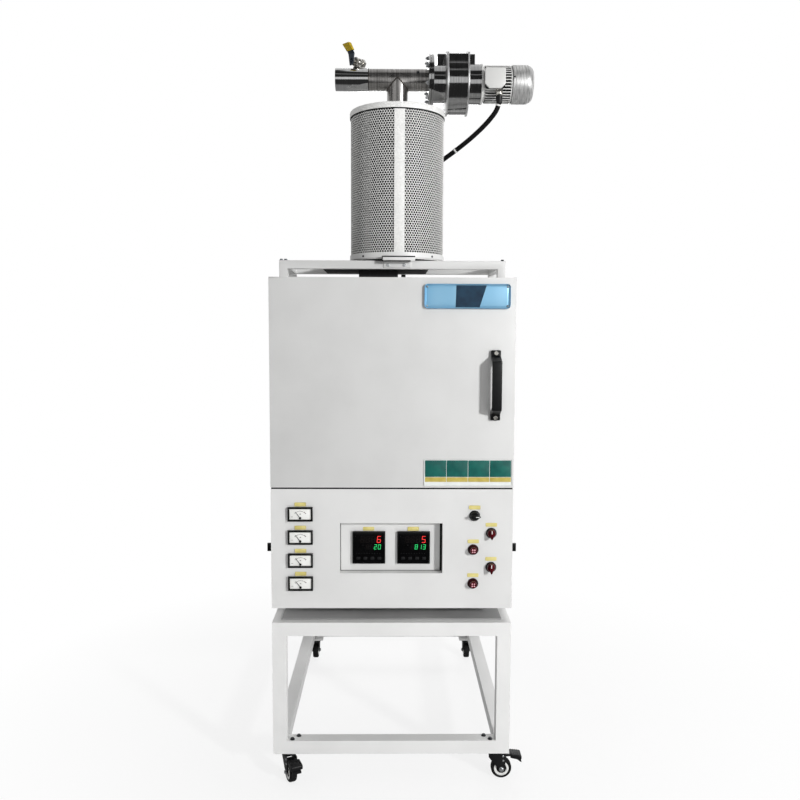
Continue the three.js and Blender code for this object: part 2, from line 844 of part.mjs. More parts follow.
function switchRail() {
  const railX = [buttonX - switchRailWidth / 2, selectorX + switchRailWidth / 2];
  const railZ = [panelBase + buttonLowerLift - switchRailWidth,
    panelBase + powerKnobLift + switchRailWidth];
  let rail = slab(railX, [barrelDepth, barrelDepth + switchRailThick], railZ);
  for (const place of switchPlaces) {
    rail = rail.add(round('y', -seatGap - collarThick, barrelDepth + seatGap, barrelRadius, place, small))
      .add(round('y', -seatGap - collarThick, -seatGap, collarRadius, place, small));
  }
  for (const place of switchPlaces) {
    rail = rail.subtract(round('y', -seatGap - collarThick - overrun, barrelDepth - overrun, stemBore,
      place, tiny));
  }
  return rail;
}

function turnKnob(place, turn) {
  const back = -collarThick - seatGap * 2;
  const disc = round('y', back - knobThick, back, knobRadius, place, small);
  const stem = round('y', back - overrun, barrelDepth / 2, stemRadius, place, tiny);
  const grip = new THREE.BoxGeometry(gripLength, gripThick, gripWidth);
  grip.rotateY(-turn);
  grip.translate(place[0], back - knobThick - gripThick / 2 + seatGap, place[1]);
  return join(disc, stem, solidOf(grip));
}

function pushButton(place) {
  const back = -collarThick - seatGap - buttonTravel - buttonEndGap;
  return join(
    round('y', back - buttonThick, back, buttonRadius, place, small),
    round('y', back - overrun, barrelDepth / 2, stemRadius, place, tiny),
  );
}

function sideLatch(side) {
  const from = half + seatGap;
  const span = (a, b) => (side > 0 ? [a, b] : [-b, -a]);
  const bar = (a, b, radius) => round('x', ...span(a, b), radius, [latchSetback, latchZ], small);
  return join(
    bar(half - sheet - latchStem, from + overrun, latchStem),
    bar(from, from + latchFlange, latchRadius),
    slab(span(from + overrun, from + latchReach), around(latchSetback, latchWing),
      around(latchZ, latchRadius * 2)),
  );
}

piece('control_panel', controlPanel(), casePaint);
piece('switch_rail', switchRail(), blackPlastic);
piece('controller_left', controller(controllerXs[0]), blackPlastic);
piece('controller_right', controller(controllerXs[1]), blackPlastic);
for (let i = 0; i < meterCount; i += 1) {
  piece(`meter_case_${i + 1}`, meterCase(meterZ(i)), whiteDial);
  piece(`meter_pointer_${i + 1}`, meterPointer(meterZ(i)), blackPlastic);
}
piece('power_knob', turnKnob(switchPlaces[0], 0), blackPlastic);
piece('selector_knob_upper', turnKnob(switchPlaces[1], Math.PI / 2), redPlastic);
piece('selector_knob_lower', turnKnob(switchPlaces[2], Math.PI / 2), redPlastic);
piece('push_button_upper', pushButton(switchPlaces[3]), redPlastic);
piece('push_button_lower', pushButton(switchPlaces[4]), redPlastic);
piece('side_latch_left', sideLatch(-1), blackPlastic);
piece('side_latch_right', sideLatch(1), blackPlastic);

// Top frame that carries the tower
function topFrame() {
  const x = half - topFrameInset;
  const yEnds = [[topFrameSetback, topFrameSetback + topTube],
    [topFrameSetback + topFrameDepth - topTube, topFrameSetback + topFrameDepth]];
  const xEnds = [[-x, -x + topTube], [x - topTube, x]];
  const railZ = [frameTop - topTube, frameTop];
  const bars = [];
  yEnds.forEach((y) => bars.push(slab([-x, x], y, railZ)));
  xEnds.forEach((ends) => bars.push(slab(ends, [yEnds[0][0], yEnds[1][1]], railZ)));
  for (const ends of xEnds) {
    yEnds.forEach((y) => bars.push(slab(ends, y, [frameBase, frameTop])));
  }
  const bracketX = around(towerX, bracketWidth);
  bars.push(slab(bracketX, [topFrameSetback - bracketThick, topFrameSetback],
    [frameTop - bracketDrop, frameTop]));
  bars.push(slab(bracketX, [topFrameSetback - bracketReach, topFrameSetback],
    [frameTop - bracketThick, frameTop]));
  return join(...bars);
}

// Tower: base tray, guard, cap and the afterburner core inside
const tower = [towerX, towerY];
const ringRadius = guardRadius + seatGap + guardBaseWall;
const guardSides = 44;

function guardBaseTray() {
  return round('z', guardBase, guardBase + guardBaseHeight, ringRadius, tower, guardSides)
    .subtract(round('z', guardBase + guardBaseFloor, guardBase + guardBaseHeight + overrun,
      guardRadius + seatGap, tower, guardSides))
    .subtract(round('z', guardBase - overrun, guardBase + guardBaseHeight, flueRadius + flueClearance,
      [flueX, towerY]));
}

function guardShell() {
  const z = [guardBase + guardBaseFloor + seatGap, capFloor - seatGap];
  return round('z', z[0], z[1], guardRadius, tower, guardSides)
    .subtract(round('z', z[0] - overrun, z[1] + overrun, guardRadius - guardSheet, tower, guardSides));
}

function guardCap() {
  return round('z', guardTop - capRim, guardTop, ringRadius, tower, guardSides)
    .subtract(round('z', guardTop - capRim - overrun, capFloor, guardRadius + seatGap, tower, guardSides))
    .subtract(round('z', capFloor - overrun, guardTop + overrun, pipeRadius + flueClearance, tower, plain));
}

function afterburnerCore() {
  const base = guardBase + guardBaseFloor + seatGap;
  return round('z', base, coreTop, coreRadius, tower, plain)
    .subtract(round('z', base - overrun, coreTop - coreLid, coreRadius - coreWall, tower, plain))
    .subtract(round('z', base, coreTop + overrun, pipeRadius - pipeWall, tower, plain));
}

const pipeLine = [towerY, pipeAxis];
function teePipe() {
  const flangeEnd = pipeFlangeX + pipeFlangeThick;
  return join(
    round('x', pipeEndX, pipeFlangeX, pipeRadius, pipeLine, plain),
    round('x', pipeEndX, pipeEndX + sleeveLength, pipeRadius + sleeveWall, pipeLine, plain),
    round('z', coreTop + seatGap, pipeAxis, pipeRadius, tower, plain),
    round('x', pipeFlangeX - overrun / 2, flangeEnd, pipeFlangeRadius, pipeLine, plain),
  ).subtract(round('x', pipeEndX - overrun, flangeEnd + overrun, pipeRadius - pipeWall, pipeLine, plain))
    .subtract(round('z', coreTop - overrun, pipeAxis, pipeRadius - pipeWall, tower, plain));
}

// Small ball valve on the tail of the pipe
const valveX = pipeEndX + valveFromEnd;
const valveZ = pipeAxis + pipeRadius + sleeveWall + valveAxisLift;
const valveFrom = valveX - valveBodyLength / 2 + valveBodyOffset;
const leverX = valveFrom - bonnetLength - seatGap;

// The valve is screwed down with its stem turned towards the front
function yawed(solid) {
  return solid.translate([-valveX, -towerY, 0]).rotate([0, 0, valveYaw]).translate([valveX, towerY, 0]);
}

function valveBody() {
  const nippleBase = pipeAxis + pipeRadius + sleeveWall + seatGap;
  return join(
    round('z', nippleBase, valveZ, nippleRadius, [valveX, towerY], small),
    round('x', valveFrom, valveFrom + valveBodyLength, valveBodyRadius,
      [towerY, valveZ], hexagon),
    round('x', valveFrom - bonnetLength, valveFrom + overrun, bonnetRadius, [towerY, valveZ], small),
  ).subtract(round('x', valveX, valveFrom + valveBodyLength + overrun, valveBore, [towerY, valveZ], tiny))
    .subtract(round('x', valveFrom - bonnetLength - overrun, valveFrom, valveStemRadius + runningGap,
      [towerY, valveZ], tiny));
}

function valveLever() {
  const profile = [
    [leverX, valveZ - leverBelow],
    [leverX, valveZ + leverKnee],
    [leverX - leverLean, valveZ + leverAbove],
    [leverX - leverLean - leverGripThick, valveZ + leverAbove],
    [leverX - leverThick, valveZ + leverKnee],
    [leverX - leverThick, valveZ - leverBelow],
  ];
  return outlineAlongY(profile, towerY - leverWidth / 2, towerY + leverWidth / 2)
    .add(round('x', leverX - leverThick / 2, leverX + valveStemLength, valveStemRadius,
      [towerY, valveZ], tiny));
}

piece('top_frame', topFrame(), standPaint);
piece('guard_base', guardBaseTray(), casePaint);
piece('guard_shell', guardShell(), satinSteel);
piece('guard_cap', guardCap(), satinSteel);
piece('afterburner_core', afterburnerCore(), fibreBoard);
piece('tee_pipe', teePipe(), polishedSteel);
piece('valve_body', yawed(valveBody()), brass);
piece('valve_lever', yawed(valveLever()), brass);

// Blower, from the inlet flange on the left to the fan cover on the right
const blowerLine = [towerY, blowerAxis];
const inletX = pipeFlangeX + pipeFlangeThick + seatGap;
const inletEnd = inletX + pipeFlangeThick + inletLength;
const scrollX = [inletEnd, inletEnd + scrollWidth];
const rearEnd = scrollX[1] + rearLength;
const outletTop = blowerAxis + scrollRadius + outletRise;
const outletEnd = towerY + outletReach;
const bladeX = scrollX[0] + scrollPlate + impellerGap;

// Round section with a square hood over its upper front, smaller all round by the rim
function scrollSection(x, rim) {
  return round('x', x[0], x[1], scrollRadius - rim, blowerLine, fine)
    .add(slab(x, [towerY - hoodReach + rim, towerY], [blowerAxis, blowerAxis + hoodHeight - rim]));
}

function blowerHousing() {
  const middle = (scrollX[0] + scrollX[1]) / 2;
  const duct = [scrollX[0], scrollX[1]];
  const solid = join(
    round('x', inletX, inletX + pipeFlangeThick, pipeFlangeRadius, pipeLine, plain),
    round('x', inletX, inletEnd, inletRadius, blowerLine, plain),
    scrollSection(scrollX, scrollRim),
    scrollSection([scrollX[0], scrollX[0] + scrollPlate], 0),
    scrollSection([scrollX[1] - scrollPlate, scrollX[1]], 0),
    round('x', scrollX[1], rearEnd, rearRadius, blowerLine, plain),
    slab(duct, [towerY, outletEnd], [outletTop - outletHeight, outletTop]),
    slab(around(middle, outletWidth), [outletEnd - outletBox, outletEnd],
      [outletTop - outletHeight, outletTop]),
  );
  const inner = [scrollX[0] + scrollPlate, scrollX[1] - scrollPlate];
  return solid
    .subtract(round('x', inletX - overrun, inletX + pipeFlangeThick + overrun, pipeRadius - pipeWall,
      pipeLine, plain))
    .subtract(round('x', inletX + pipeFlangeThick, inner[0] + overrun, inletRadius - inletWall,
      blowerLine, plain))
    .subtract(round('x', inner[0], inner[1], scrollRadius - scrollRim - scrollWall, blowerLine, plain))
    .subtract(slab(inner, [towerY, outletEnd + overrun],
      [outletTop - outletHeight + outletWall, outletTop - outletWall]))
    .subtract(round('x', inner[1] - overrun, scrollX[1] + overrun, shaftBore, blowerLine, tiny))
    .subtract(round('x', scrollX[1] + overrun / 2, rearEnd + overrun, rearRadius - rearWall,
      blowerLine, plain));
}

function fanRotor() {
  const discX = bladeX + impellerWidth;
  const parts = [
    round('x', discX, discX + impellerDisc, impellerRadius, blowerLine, plain),
    round('x', bladeX, discX + overrun, hubRadius, blowerLine, small),
    round('x', discX, rearEnd + shaftBearing, shaftRadius, blowerLine, tiny),
  ];
  for (let i = 0; i < bladeCount; i += 1) {
    const blade = new THREE.BoxGeometry(impellerWidth + overrun, impellerRadius - impellerEye, bladeThick);
    blade.translate(bladeX + (impellerWidth + overrun) / 2,
      (impellerRadius + impellerEye) / 2 - overrun, 0);
    blade.rotateX(i * 2 * Math.PI / bladeCount);
    blade.translate(0, towerY, blowerAxis);
    parts.push(solidOf(blade));
  }
  return join(...parts);
}

const motorX = rearEnd + seatGap;
const motorEnd = motorX + motorLength;
const terminalX = [motorX + terminalStart, motorX + terminalStart + terminalWidth];
const terminalZ = around(blowerAxis + terminalLift, terminalHeight);
const terminalY = [towerY - motorRadius - terminalReach, towerY];
const glandX = terminalX[1] - glandInset;
const glandY = terminalY[0] + glandSetback;

function motorBody() {
  const parts = [
    round('x', motorX, motorX + motorFlangeThick, motorFlangeRadius, blowerLine, plain),
    round('x', motorX, motorEnd, motorRadius, blowerLine, plain),
    slab(terminalX, terminalY, terminalZ),
    round('z', terminalZ[0] - glandLength, terminalZ[0] + overrun, glandRadius, [glandX, glandY], tiny),
  ];
  for (let i = 0; i < finCount; i += 1) {
    const fin = new THREE.BoxGeometry(motorLength - finStart, finDepth + finRoot, finThick);
    fin.translate(motorX + finStart + (motorLength - finStart) / 2,
      motorRadius + (finDepth - finRoot) / 2, 0);
    fin.rotateX(i * 2 * Math.PI / finCount);
    fin.translate(0, towerY, blowerAxis);
    parts.push(solidOf(fin));
  }
  return join(...parts)
    .subtract(round('x', motorX - overrun, motorX + shaftBearing + overrun, shaftBore, blowerLine, tiny));
}

function fanCover() {
  const from = motorEnd + seatGap;
  const taperFrom = from + fanCoverLength - fanCoverTaperLength;
  const to = from + fanCoverLength;
  const skin = (inset, begin, end) => join(
    round('x', begin, taperFrom, fanCoverRadius - inset, blowerLine, plain),
    round('x', taperFrom, end, fanCoverRadius - inset, blowerLine, plain,
      fanCoverRadius - fanCoverTaper - inset),
  );
  return skin(0, from, to).subtract(skin(fanCoverWall, from - overrun, to - fanCoverWall));
}

piece('blower_housing', blowerHousing(), polishedSteel);
piece('fan_rotor', fanRotor(), castAluminium);
piece('motor_body', motorBody(), motorPaint);
piece('fan_cover', fanCover(), castAluminium);

// Motor cable: out of the gland, down behind the guard and into the gland on the roof
const cableStart = [glandX, glandY, terminalZ[0] - glandLength - seatGap];
const cableFinish = [cableEnd[0], cableEnd[1], caseTop + roofGlandHeight + seatGap];
const cableRoute = [
  cableStart,
  [326.1, 249, 2056],
  [326, 249.1, 2046],
  [318.5, 256, 2023],
  [302, 268, 2001],
  [280, 284, 1979],
  [252, 305, 1956],
  [221, 330, 1934],
  [191, 354, 1915],
  [164, 388, 1901],
  [134, 426, 1886],
  [99, 459, 1862],
  [66, 485, 1826],
  [45, 502, 1776],
  [38, 508, 1710],
  [38, 508, 1630],
  [38, 508, 1560],
  cableFinish,
];

function motorCable() {
  const points = cableRoute.map((place) => new THREE.Vector3(...place));
  const path = new THREE.CatmullRomCurve3(points, false, 'centripetal');
  const section = new THREE.Shape();
  for (let i = 0; i < cableSides; i += 1) {
    const angle = i * 2 * Math.PI / cableSides;
    const corner = [cableRadius * Math.cos(angle), cableRadius * Math.sin(angle)];
    if (i === 0) {
      section.moveTo(...corner);
    } else {
      section.lineTo(...corner);
    }
  }
  section.closePath();
  const geometry = new THREE.ExtrudeGeometry(section, {
    steps: cableSteps, extrudePath: path, bevelEnabled: false,
  });
  return solidOf(geometry);
}

piece('motor_cable', motorCable(), rubber);

// The origin goes to the floor below the middle of the part
const reach = new THREE.Box3().setFromObject(root);
root.position.set(-(reach.min.x + reach.max.x) / 2, -(reach.min.y + reach.max.y) / 2, -reach.min.z);
root.updateMatrixWorld(true);

export default root;
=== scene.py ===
# Looks of the debinding furnace: a powder-coated case on a castered tube stand, with an afterburner
# tower, a stainless tail pipe and an extraction blower on its roof.
# Pieces are modelled in millimetres from the front of the case, the middle of its width and the floor,
# and are turned into metres of the frame when they are finished.
import json
import math

import bpy
import numpy as np
from mathutils import Matrix, Vector

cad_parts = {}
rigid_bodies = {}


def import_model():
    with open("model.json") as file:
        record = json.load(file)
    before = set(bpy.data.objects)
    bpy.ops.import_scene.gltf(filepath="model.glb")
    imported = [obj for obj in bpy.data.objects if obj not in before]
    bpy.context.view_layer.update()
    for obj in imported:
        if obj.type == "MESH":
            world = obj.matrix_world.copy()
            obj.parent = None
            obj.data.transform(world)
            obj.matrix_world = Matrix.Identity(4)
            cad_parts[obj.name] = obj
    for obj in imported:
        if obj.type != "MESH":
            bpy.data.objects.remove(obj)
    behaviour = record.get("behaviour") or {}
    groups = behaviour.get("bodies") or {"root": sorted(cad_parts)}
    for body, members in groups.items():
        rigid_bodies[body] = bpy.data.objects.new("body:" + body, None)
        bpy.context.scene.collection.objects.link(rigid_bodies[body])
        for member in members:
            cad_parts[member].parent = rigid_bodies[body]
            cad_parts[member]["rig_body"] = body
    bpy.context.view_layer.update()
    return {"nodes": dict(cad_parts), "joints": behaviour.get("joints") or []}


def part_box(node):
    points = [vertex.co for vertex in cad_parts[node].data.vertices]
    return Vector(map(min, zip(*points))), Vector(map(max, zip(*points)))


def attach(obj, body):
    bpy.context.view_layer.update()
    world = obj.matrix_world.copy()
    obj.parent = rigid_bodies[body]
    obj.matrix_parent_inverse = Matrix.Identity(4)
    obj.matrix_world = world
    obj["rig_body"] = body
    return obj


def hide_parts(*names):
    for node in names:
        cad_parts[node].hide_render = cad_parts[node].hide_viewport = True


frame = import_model()
bpy.ops.object.select_all(action="DESELECT")

mm = 0.001
stand_low, stand_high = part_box("stand_frame")
layout_origin = Vector(((stand_low.x + stand_high.x) / 2, stand_low.y, 0))
to_frame = Matrix.Translation(layout_origin) @ Matrix.Scale(mm, 4)
from_frame = to_frame.inverted()
joints = {joint["name"]: joint for joint in frame["joints"]}


def limits(node):
    """The ranges in X, Y and Z that a CAD node fills, in millimetres."""
    low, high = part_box(node)
    low, high = from_frame @ low, from_frame @ high
    return [(low[i], high[i]) for i in range(3)]


def middle(span):
    """The middle of a range."""
    return (span[0] + span[1]) / 2


def joint_place(name):
    """Where a joint sits, in millimetres of the layout."""
    return from_frame @ Vector(joints[name]["pos_m"])


# Camera: 2.27 m in front of the case, as the photograph's edges give it
camera_place = (-4.62, -2267.6, 1344.0)
camera_down = math.radians(4.94)
camera_right = math.radians(0.67)
camera_roll = math.radians(0.21)
camera_lens = 35.876


def set_camera():
    """The camera that the photograph's edges give."""
    data = bpy.data.cameras.new("view")
    data.lens = camera_lens
    camera = bpy.data.objects.new("view", data)
    bpy.context.scene.collection.objects.link(camera)
    turn = Matrix.Rotation(-camera_right, 4, "Z") @ Matrix.Rotation(math.pi / 2 - camera_down, 4, "X")
    camera.matrix_world = Matrix.Translation(to_frame @ Vector(camera_place)) @ turn @ Matrix.Rotation(
        camera_roll, 4, "Z")
    bpy.context.scene.camera = camera


# Materials
def srgb(code):
    """The linear colour of an sRGB hex value."""
    parts = [int(code[i:i + 2], 16) / 255 for i in (1, 3, 5)]
    return (*[p / 12.92 if p <= 0.04045 else ((p + 0.055) / 1.055) ** 2.4 for p in parts], 1)


def add(tree, kind, settings=None, inputs=None):
    """Adds a node, with its settings and the values or sockets that feed its inputs."""
    made = tree.nodes.new(kind)
    for key, value in (settings or {}).items():
        setattr(made, key, value)
    for key, value in (inputs or {}).items():
        if isinstance(value, bpy.types.NodeSocket):
            tree.links.new(value, made.inputs[key])
        else:
            made.inputs[key].default_value = value
    return made


def surface(name, colour, roughness, metallic=0.0, **sockets):
    """A material with one principled shader, and its tree and shader to build a pattern on."""
    made = bpy.data.materials.new(name)
    made.use_nodes = True
    tree = made.node_tree
    shader = tree.nodes["Principled BSDF"]
    values = {"Base Color": srgb(colour), "Roughness": roughness, "Metallic": metallic}
    for key, value in {**values, **sockets}.items():
        shader.inputs[key].default_value = value
    return made, tree, shader


def speckle(tree, size, stretch=(1, 1, 1), detail=3.0):
    """A noise with features of that size in millimetres, drawn out along the axes with a small stretch."""
    where = add(tree, "ShaderNodeTexCoord")
    turned_to = add(tree, "ShaderNodeMapping", inputs={"Vector": where.outputs["Object"], "Scale": stretch})
    noise = add(tree, "ShaderNodeTexNoise",
                inputs={"Vector": turned_to.outputs[0], "Scale": 1 / (size * mm), "Detail": detail})
    return noise.outputs[0]


def tint(tree, shader, pattern, dark, light, spread=(0.35, 0.65)):
    """Colours the surface from dark to light as the pattern rises."""
    eased = add(tree, "ShaderNodeMapRange", inputs={0: pattern, 1: spread[0], 2: spread[1]})
    mix = add(tree, "ShaderNodeMix", {"data_type": "RGBA"},
              {0: eased.outputs[0], 6: srgb(dark), 7: srgb(light)})
    tree.links.new(mix.outputs[2], shader.inputs["Base Color"])


def gloss(tree, shader, pattern, low, high):
    """Lets the roughness follow the pattern."""
    eased = add(tree, "ShaderNodeMapRange", inputs={0: pattern, 1: 0.3, 2: 0.7, 3: low, 4: high})
    tree.links.new(eased.outputs[0], shader.inputs["Roughness"])


def relief(tree, shader, pattern, depth, strength=1.0):
    """Raises the surface by the pattern, with its depth in millimetres."""
    bump = add(tree, "ShaderNodeBump",
               inputs={"Height": pattern, "Distance": depth * mm, "Strength": strength})
    tree.links.new(bump.outputs[0], shader.inputs["Normal"])


def powder_coat(name, colour, shade, roughness=0.42):
    """Baked powder paint: an even colour over a fine orange peel, 1.6 mm across so that it shows."""
    made, tree, shader = surface(name, colour, roughness)
    tint(tree, shader, speckle(tree, 160), shade, colour, (0.2, 0.6))
    relief(tree, shader, speckle(tree, 1.6, detail=2), 0.035)
    gloss(tree, shader, speckle(tree, 45), roughness - 0.04, roughness + 0.05)
    return made


def moulded(name, colour, shade, roughness, grain_size=0.9, grain_depth=0.04, specular=0.3):
    """Injection-moulded ABS or nylon: one colour with a fine spark-eroded grain."""
    made, tree, shader = surface(name, colour, roughness, **{"Specular IOR Level": specular})
    tint(tree, shader, speckle(tree, 14), shade, colour)
    relief(tree, shader, speckle(tree, grain_size, detail=2), grain_depth)
    return made


def lathed_steel(name, colour, shade, roughness, along=(1, 0.03, 0.03), line=2.2, wave=70, wave_depth=0.5):
    """Stainless steel polished on a wheel: fine lines round the piece, and sheet that waves a little."""
    made, tree, shader = surface(name, colour, roughness, 1.0)
    lines = speckle(tree, line, along, 4)
    tint(tree, shader, lines, shade, colour)
    gloss(tree, shader, speckle(tree, 30), roughness * 0.75, roughness * 1.35)
    rough = add(tree, "ShaderNodeBump", inputs={"Height": lines, "Distance": 0.01 * mm, "Strength": 0.7})
    sheet_wave = speckle(tree, wave, detail=1)
    bump = add(tree, "ShaderNodeBump",
               inputs={"Height": sheet_wave, "Distance": wave_depth * mm, "Normal": rough.outputs[0]})
    tree.links.new(bump.outputs[0], shader.inputs["Normal"])
    return made


def galvanised():
    """Zinc-coated perforated sheet: pale grey with fine spangles about 4 mm across."""
    made, tree, shader = surface("galvanised_perforated_sheet", "#E6E6E4", 0.55, 0.05)
    where = add(tree, "ShaderNodeTexCoord")
    cells = add(tree, "ShaderNodeTexVoronoi",
                inputs={"Vector": where.outputs["Object"], "Scale": 1 / (4 * mm)})
    bright = add(tree, "ShaderNodeSeparateColor", inputs={0: cells.outputs["Color"]})
    tint(tree, shader, bright.outputs[0], "#DEDEDC", "#EDEDEB", (0, 1))
    gloss(tree, shader, bright.outputs[1], 0.5, 0.62)
    relief(tree, shader, speckle(tree, 3), 0.02)
    return made


def fibre_board(name, colour, shade):
    """Vacuum-formed ceramic fibre: chalky, with short fibres pressed into its face."""
    made, tree, shader = surface(name, colour, 0.95)
    fibres = speckle(tree, 5, (1, 1, 0.3), 6)
    tint(tree, shader, fibres, shade, colour)
    relief(tree, shader, fibres, 0.5)
    return made


def woven_rope():
    """Glass-fibre door rope: twisted yarn about 3 mm wide, off-white."""
    made, tree, shader = surface("glass_fibre_rope", "#D9D3C4", 0.9)
    where = add(tree, "ShaderNodeTexCoord")
    yarn = add(tree, "ShaderNodeTexWave", {"wave_type": "BANDS", "bands_direction": "DIAGONAL"},
               {"Vector": where.outputs["Object"], "Scale": 1 / (3 * mm) / 6, "Distortion": 1.5})
    tint(tree, shader, yarn.outputs[1], "#A9A291", "#E2DCCD", (0.1, 0.9))
    relief(tree, shader, yarn.outputs[1], 0.6)
    return made


def silicon_carbide():
    """Sintered silicon carbide: dark and gritty, with glints of 1 mm crystals."""
    made, tree, shader = surface("sintered_silicon_carbide", "#4B4945", 0.7, 0.15)
    grit = speckle(tree, 1.2, detail=5)
    tint(tree, shader, grit, "#2C2B29", "#6A6762")
    relief(tree, shader, grit, 0.25)
    return made


def cast_aluminium(name, colour, shade, roughness=0.42):
    """Die-cast aluminium: a soft metal sheen over a fine sand-like skin."""
    made, tree, shader = surface(name, colour, roughness, 0.9)
    skin = speckle(tree, 2.2, detail=4)
    tint(tree, shader, skin, shade, colour)
    gloss(tree, shader, speckle(tree, 25), roughness - 0.08, roughness + 0.08)
    relief(tree, shader, skin, 0.06)
    return made


def brushed_silver():
    """Aluminium-coloured lacquer with turning marks round it, for the fan cover."""
    made, tree, shader = surface("brushed_silver_lacquer", "#C8C8C7", 0.44, 0.72)
    lines = speckle(tree, 3.0, (1, 0.12, 0.12), 3)
    tint(tree, shader, lines, "#A6A6A5", "#EAEAE9", (0.3, 0.7))
    gloss(tree, shader, lines, 0.36, 0.52)
    return made


def printed_film(name, colour, shade, roughness=0.32, metallic=0.0):
    """Printed vinyl or anodised plate: even ink with a faint mottle."""
    made, tree, shader = surface(name, colour, roughness, metallic)
    tint(tree, shader, speckle(tree, 22, detail=2), shade, colour)
    relief(tree, shader, speckle(tree, 0.8, detail=1), 0.008)
    return made


def anodised_plate():
    """Blue anodised aluminium: a soft fade from pale to mid blue across the plate, lightly brushed."""
    made, tree, shader = surface("blue_anodised_aluminium", "#86BCDC", 0.34, 0.35)
    tint(tree, shader, speckle(tree, 120, (1, 1, 0.5), 1), "#68A6CE", "#A2CDE3", (0.3, 0.7))
    relief(tree, shader, speckle(tree, 1.2, (0.05, 1, 1), 3), 0.02)
    return made


def glowing(name, colour, strength):
    """A light-emitting segment behind smoked acrylic: saturated, with a slightly uneven glow."""
    made, tree, shader = surface(name, "#101010", 0.3)
    uneven = speckle(tree, 3, detail=1)
    eased = add(tree, "ShaderNodeMapRange",
                inputs={0: uneven, 1: 0.3, 2: 0.7, 3: strength * 0.85, 4: strength})
    shader.inputs["Emission Color"].default_value = srgb(colour)
    tree.links.new(eased.outputs[0], shader.inputs["Emission Strength"])
    return made


def tyre_rubber(name, colour, shade):
    """Moulded rubber: matt black with a dusty bloom."""
    made, tree, shader = surface(name, colour, 0.72, **{"Specular IOR Level": 0.25})
    tint(tree, shader, speckle(tree, 7, detail=4), colour, shade)
    relief(tree, shader, speckle(tree, 1.1, detail=3), 0.05)
    return made


def oxidised_steel():
    """Heat-resistant steel after firing: dark, with brown and grey clouds of scale."""
    made, tree, shader = surface("oxidised_heat_resistant_steel", "#3C3835", 0.68, 0.55)
    tint(tree, shader, speckle(tree, 40, detail=5), "#24211F", "#5A534D")
    relief(tree, shader, speckle(tree, 3, detail=4), 0.08)
    return made


paint_case = powder_coat("light_grey_powder_coat", "#CDCDCC", "#C6C6C5")
paint_panel = powder_coat("soft_white_powder_coat", "#DBDBDA", "#D4D4D3")
paint_frame = powder_coat("pale_grey_powder_coat", "#DADAD9", "#D2D2D1")
paint_stand = powder_coat("off_white_powder_coat", "#E4E4E3", "#DCDCDB")
# The plinth's dark grey is painted shade: the shade under the case, set back on the stand.
plinth_painted_shade = powder_coat("painted_shade_grey_powder_coat", "#9C9C9C", "#8E8E8E", 0.5)
paint_motor = powder_coat("motor_grey_enamel", "#D2D2D0", "#C8C8C6", 0.36)
# Near-black for the motor's barrel and fin sides: painted shade in the valleys between the fins.
barrel_painted_shade = powder_coat("painted_shade_motor_enamel", "#0C0C0D", "#060607", 0.5)
black_zinc = moulded("black_powder_coated_zinc", "#0E0F10", "#08090A", 0.34, 1.2, 0.05)
black_abs = moulded("black_abs", "#0C0D0E", "#070808", 0.32)
black_nylon = moulded("black_nylon", "#0E0E10", "#08080A", 0.46)
grey_key = moulded("dark_grey_silicone_key", "#1A1B1D", "#131415", 0.55)
red_abs = moulded("dark_red_abs", "#560611", "#33030B", 0.16, 2.0, 0.015, 0.5)
red_bezel = moulded("maroon_abs", "#3A040C", "#220208", 0.3, 2.0, 0.015)
pink_lens = moulded("pale_red_polycarbonate", "#F2B9C1", "#E3A2AC", 0.2, 2.0, 0.015, 0.5)
white_dial = printed_film("white_enamelled_dial", "#F1F1EE", "#EAEAE6", 0.4)
black_ink = printed_film("black_printing_ink", "#0E0E0E", "#161616", 0.5)
white_ink = printed_film("white_printing_ink", "#F6F6F4", "#ECECEA", 0.45)
yellow_tag = printed_film("yellow_engraved_tag", "#E0D48C", "#D2C577", 0.38)
green_film = printed_film("dark_green_vinyl", "#12645A", "#0C544E", 0.3)
gold_film = printed_film("ochre_vinyl", "#C4B25C", "#B4A04C", 0.32)
white_film = printed_film("white_vinyl", "#E6E9E7", "#DEE1DF", 0.32)
navy_film = printed_film("navy_anodised_aluminium", "#16384F", "#102C42", 0.28, 0.3)
blue_plate = anodised_plate()
smoked_face = printed_film("smoked_acrylic", "#030304", "#060607", 0.08)
dim_segment = printed_film("unlit_segment", "#211A1A", "#181414", 0.25)
red_led = glowing("red_led", "#FF3B36", 1.5)
green_led = glowing("green_led", "#35F283", 1.25)
mirror_steel = lathed_steel("mirror_polished_stainless", "#C4C4C4", "#B4B4B4", 0.06, wave=60,
                            wave_depth=0.22)
scroll_steel = lathed_steel("polished_stainless_sheet", "#B0B0B0", "#9A9A9A", 0.1, wave=46, wave_depth=0.4)
# Brushed stainless made paler than the scroll: partly its own finish, partly painted highlight where light
# catches the plate edges.
plate_steel_painted_highlight = cast_aluminium("brushed_stainless_painted_highlight", "#E2E2E2", "#D2D2D2", 0.45)
satin_pipe = lathed_steel("satin_stainless_pipe", "#A3A19F", "#7C7A78", 0.3, line=4.5)
weld_steel = lathed_steel("heat_tinted_weld", "#75706C", "#57524F", 0.35, line=2.0)
satin_steel = lathed_steel("satin_stainless_sheet", "#A4A4A2", "#8C8C8A", 0.32, (0.05, 1, 1))
zinc_screw = cast_aluminium("zinc_plated_steel", "#C6C8CA", "#AFB1B3", 0.3)
dark_screw = cast_aluminium("blackened_steel", "#45474A", "#333538", 0.4)
nickel = cast_aluminium("nickel_plated_brass", "#C9C7C2", "#B2AFA8", 0.16)
silver_cast = cast_aluminium("die_cast_aluminium", "#BDBDBC", "#A8A8A7", 0.34)
silver_paint = brushed_silver()
guard_sheet = galvanised()
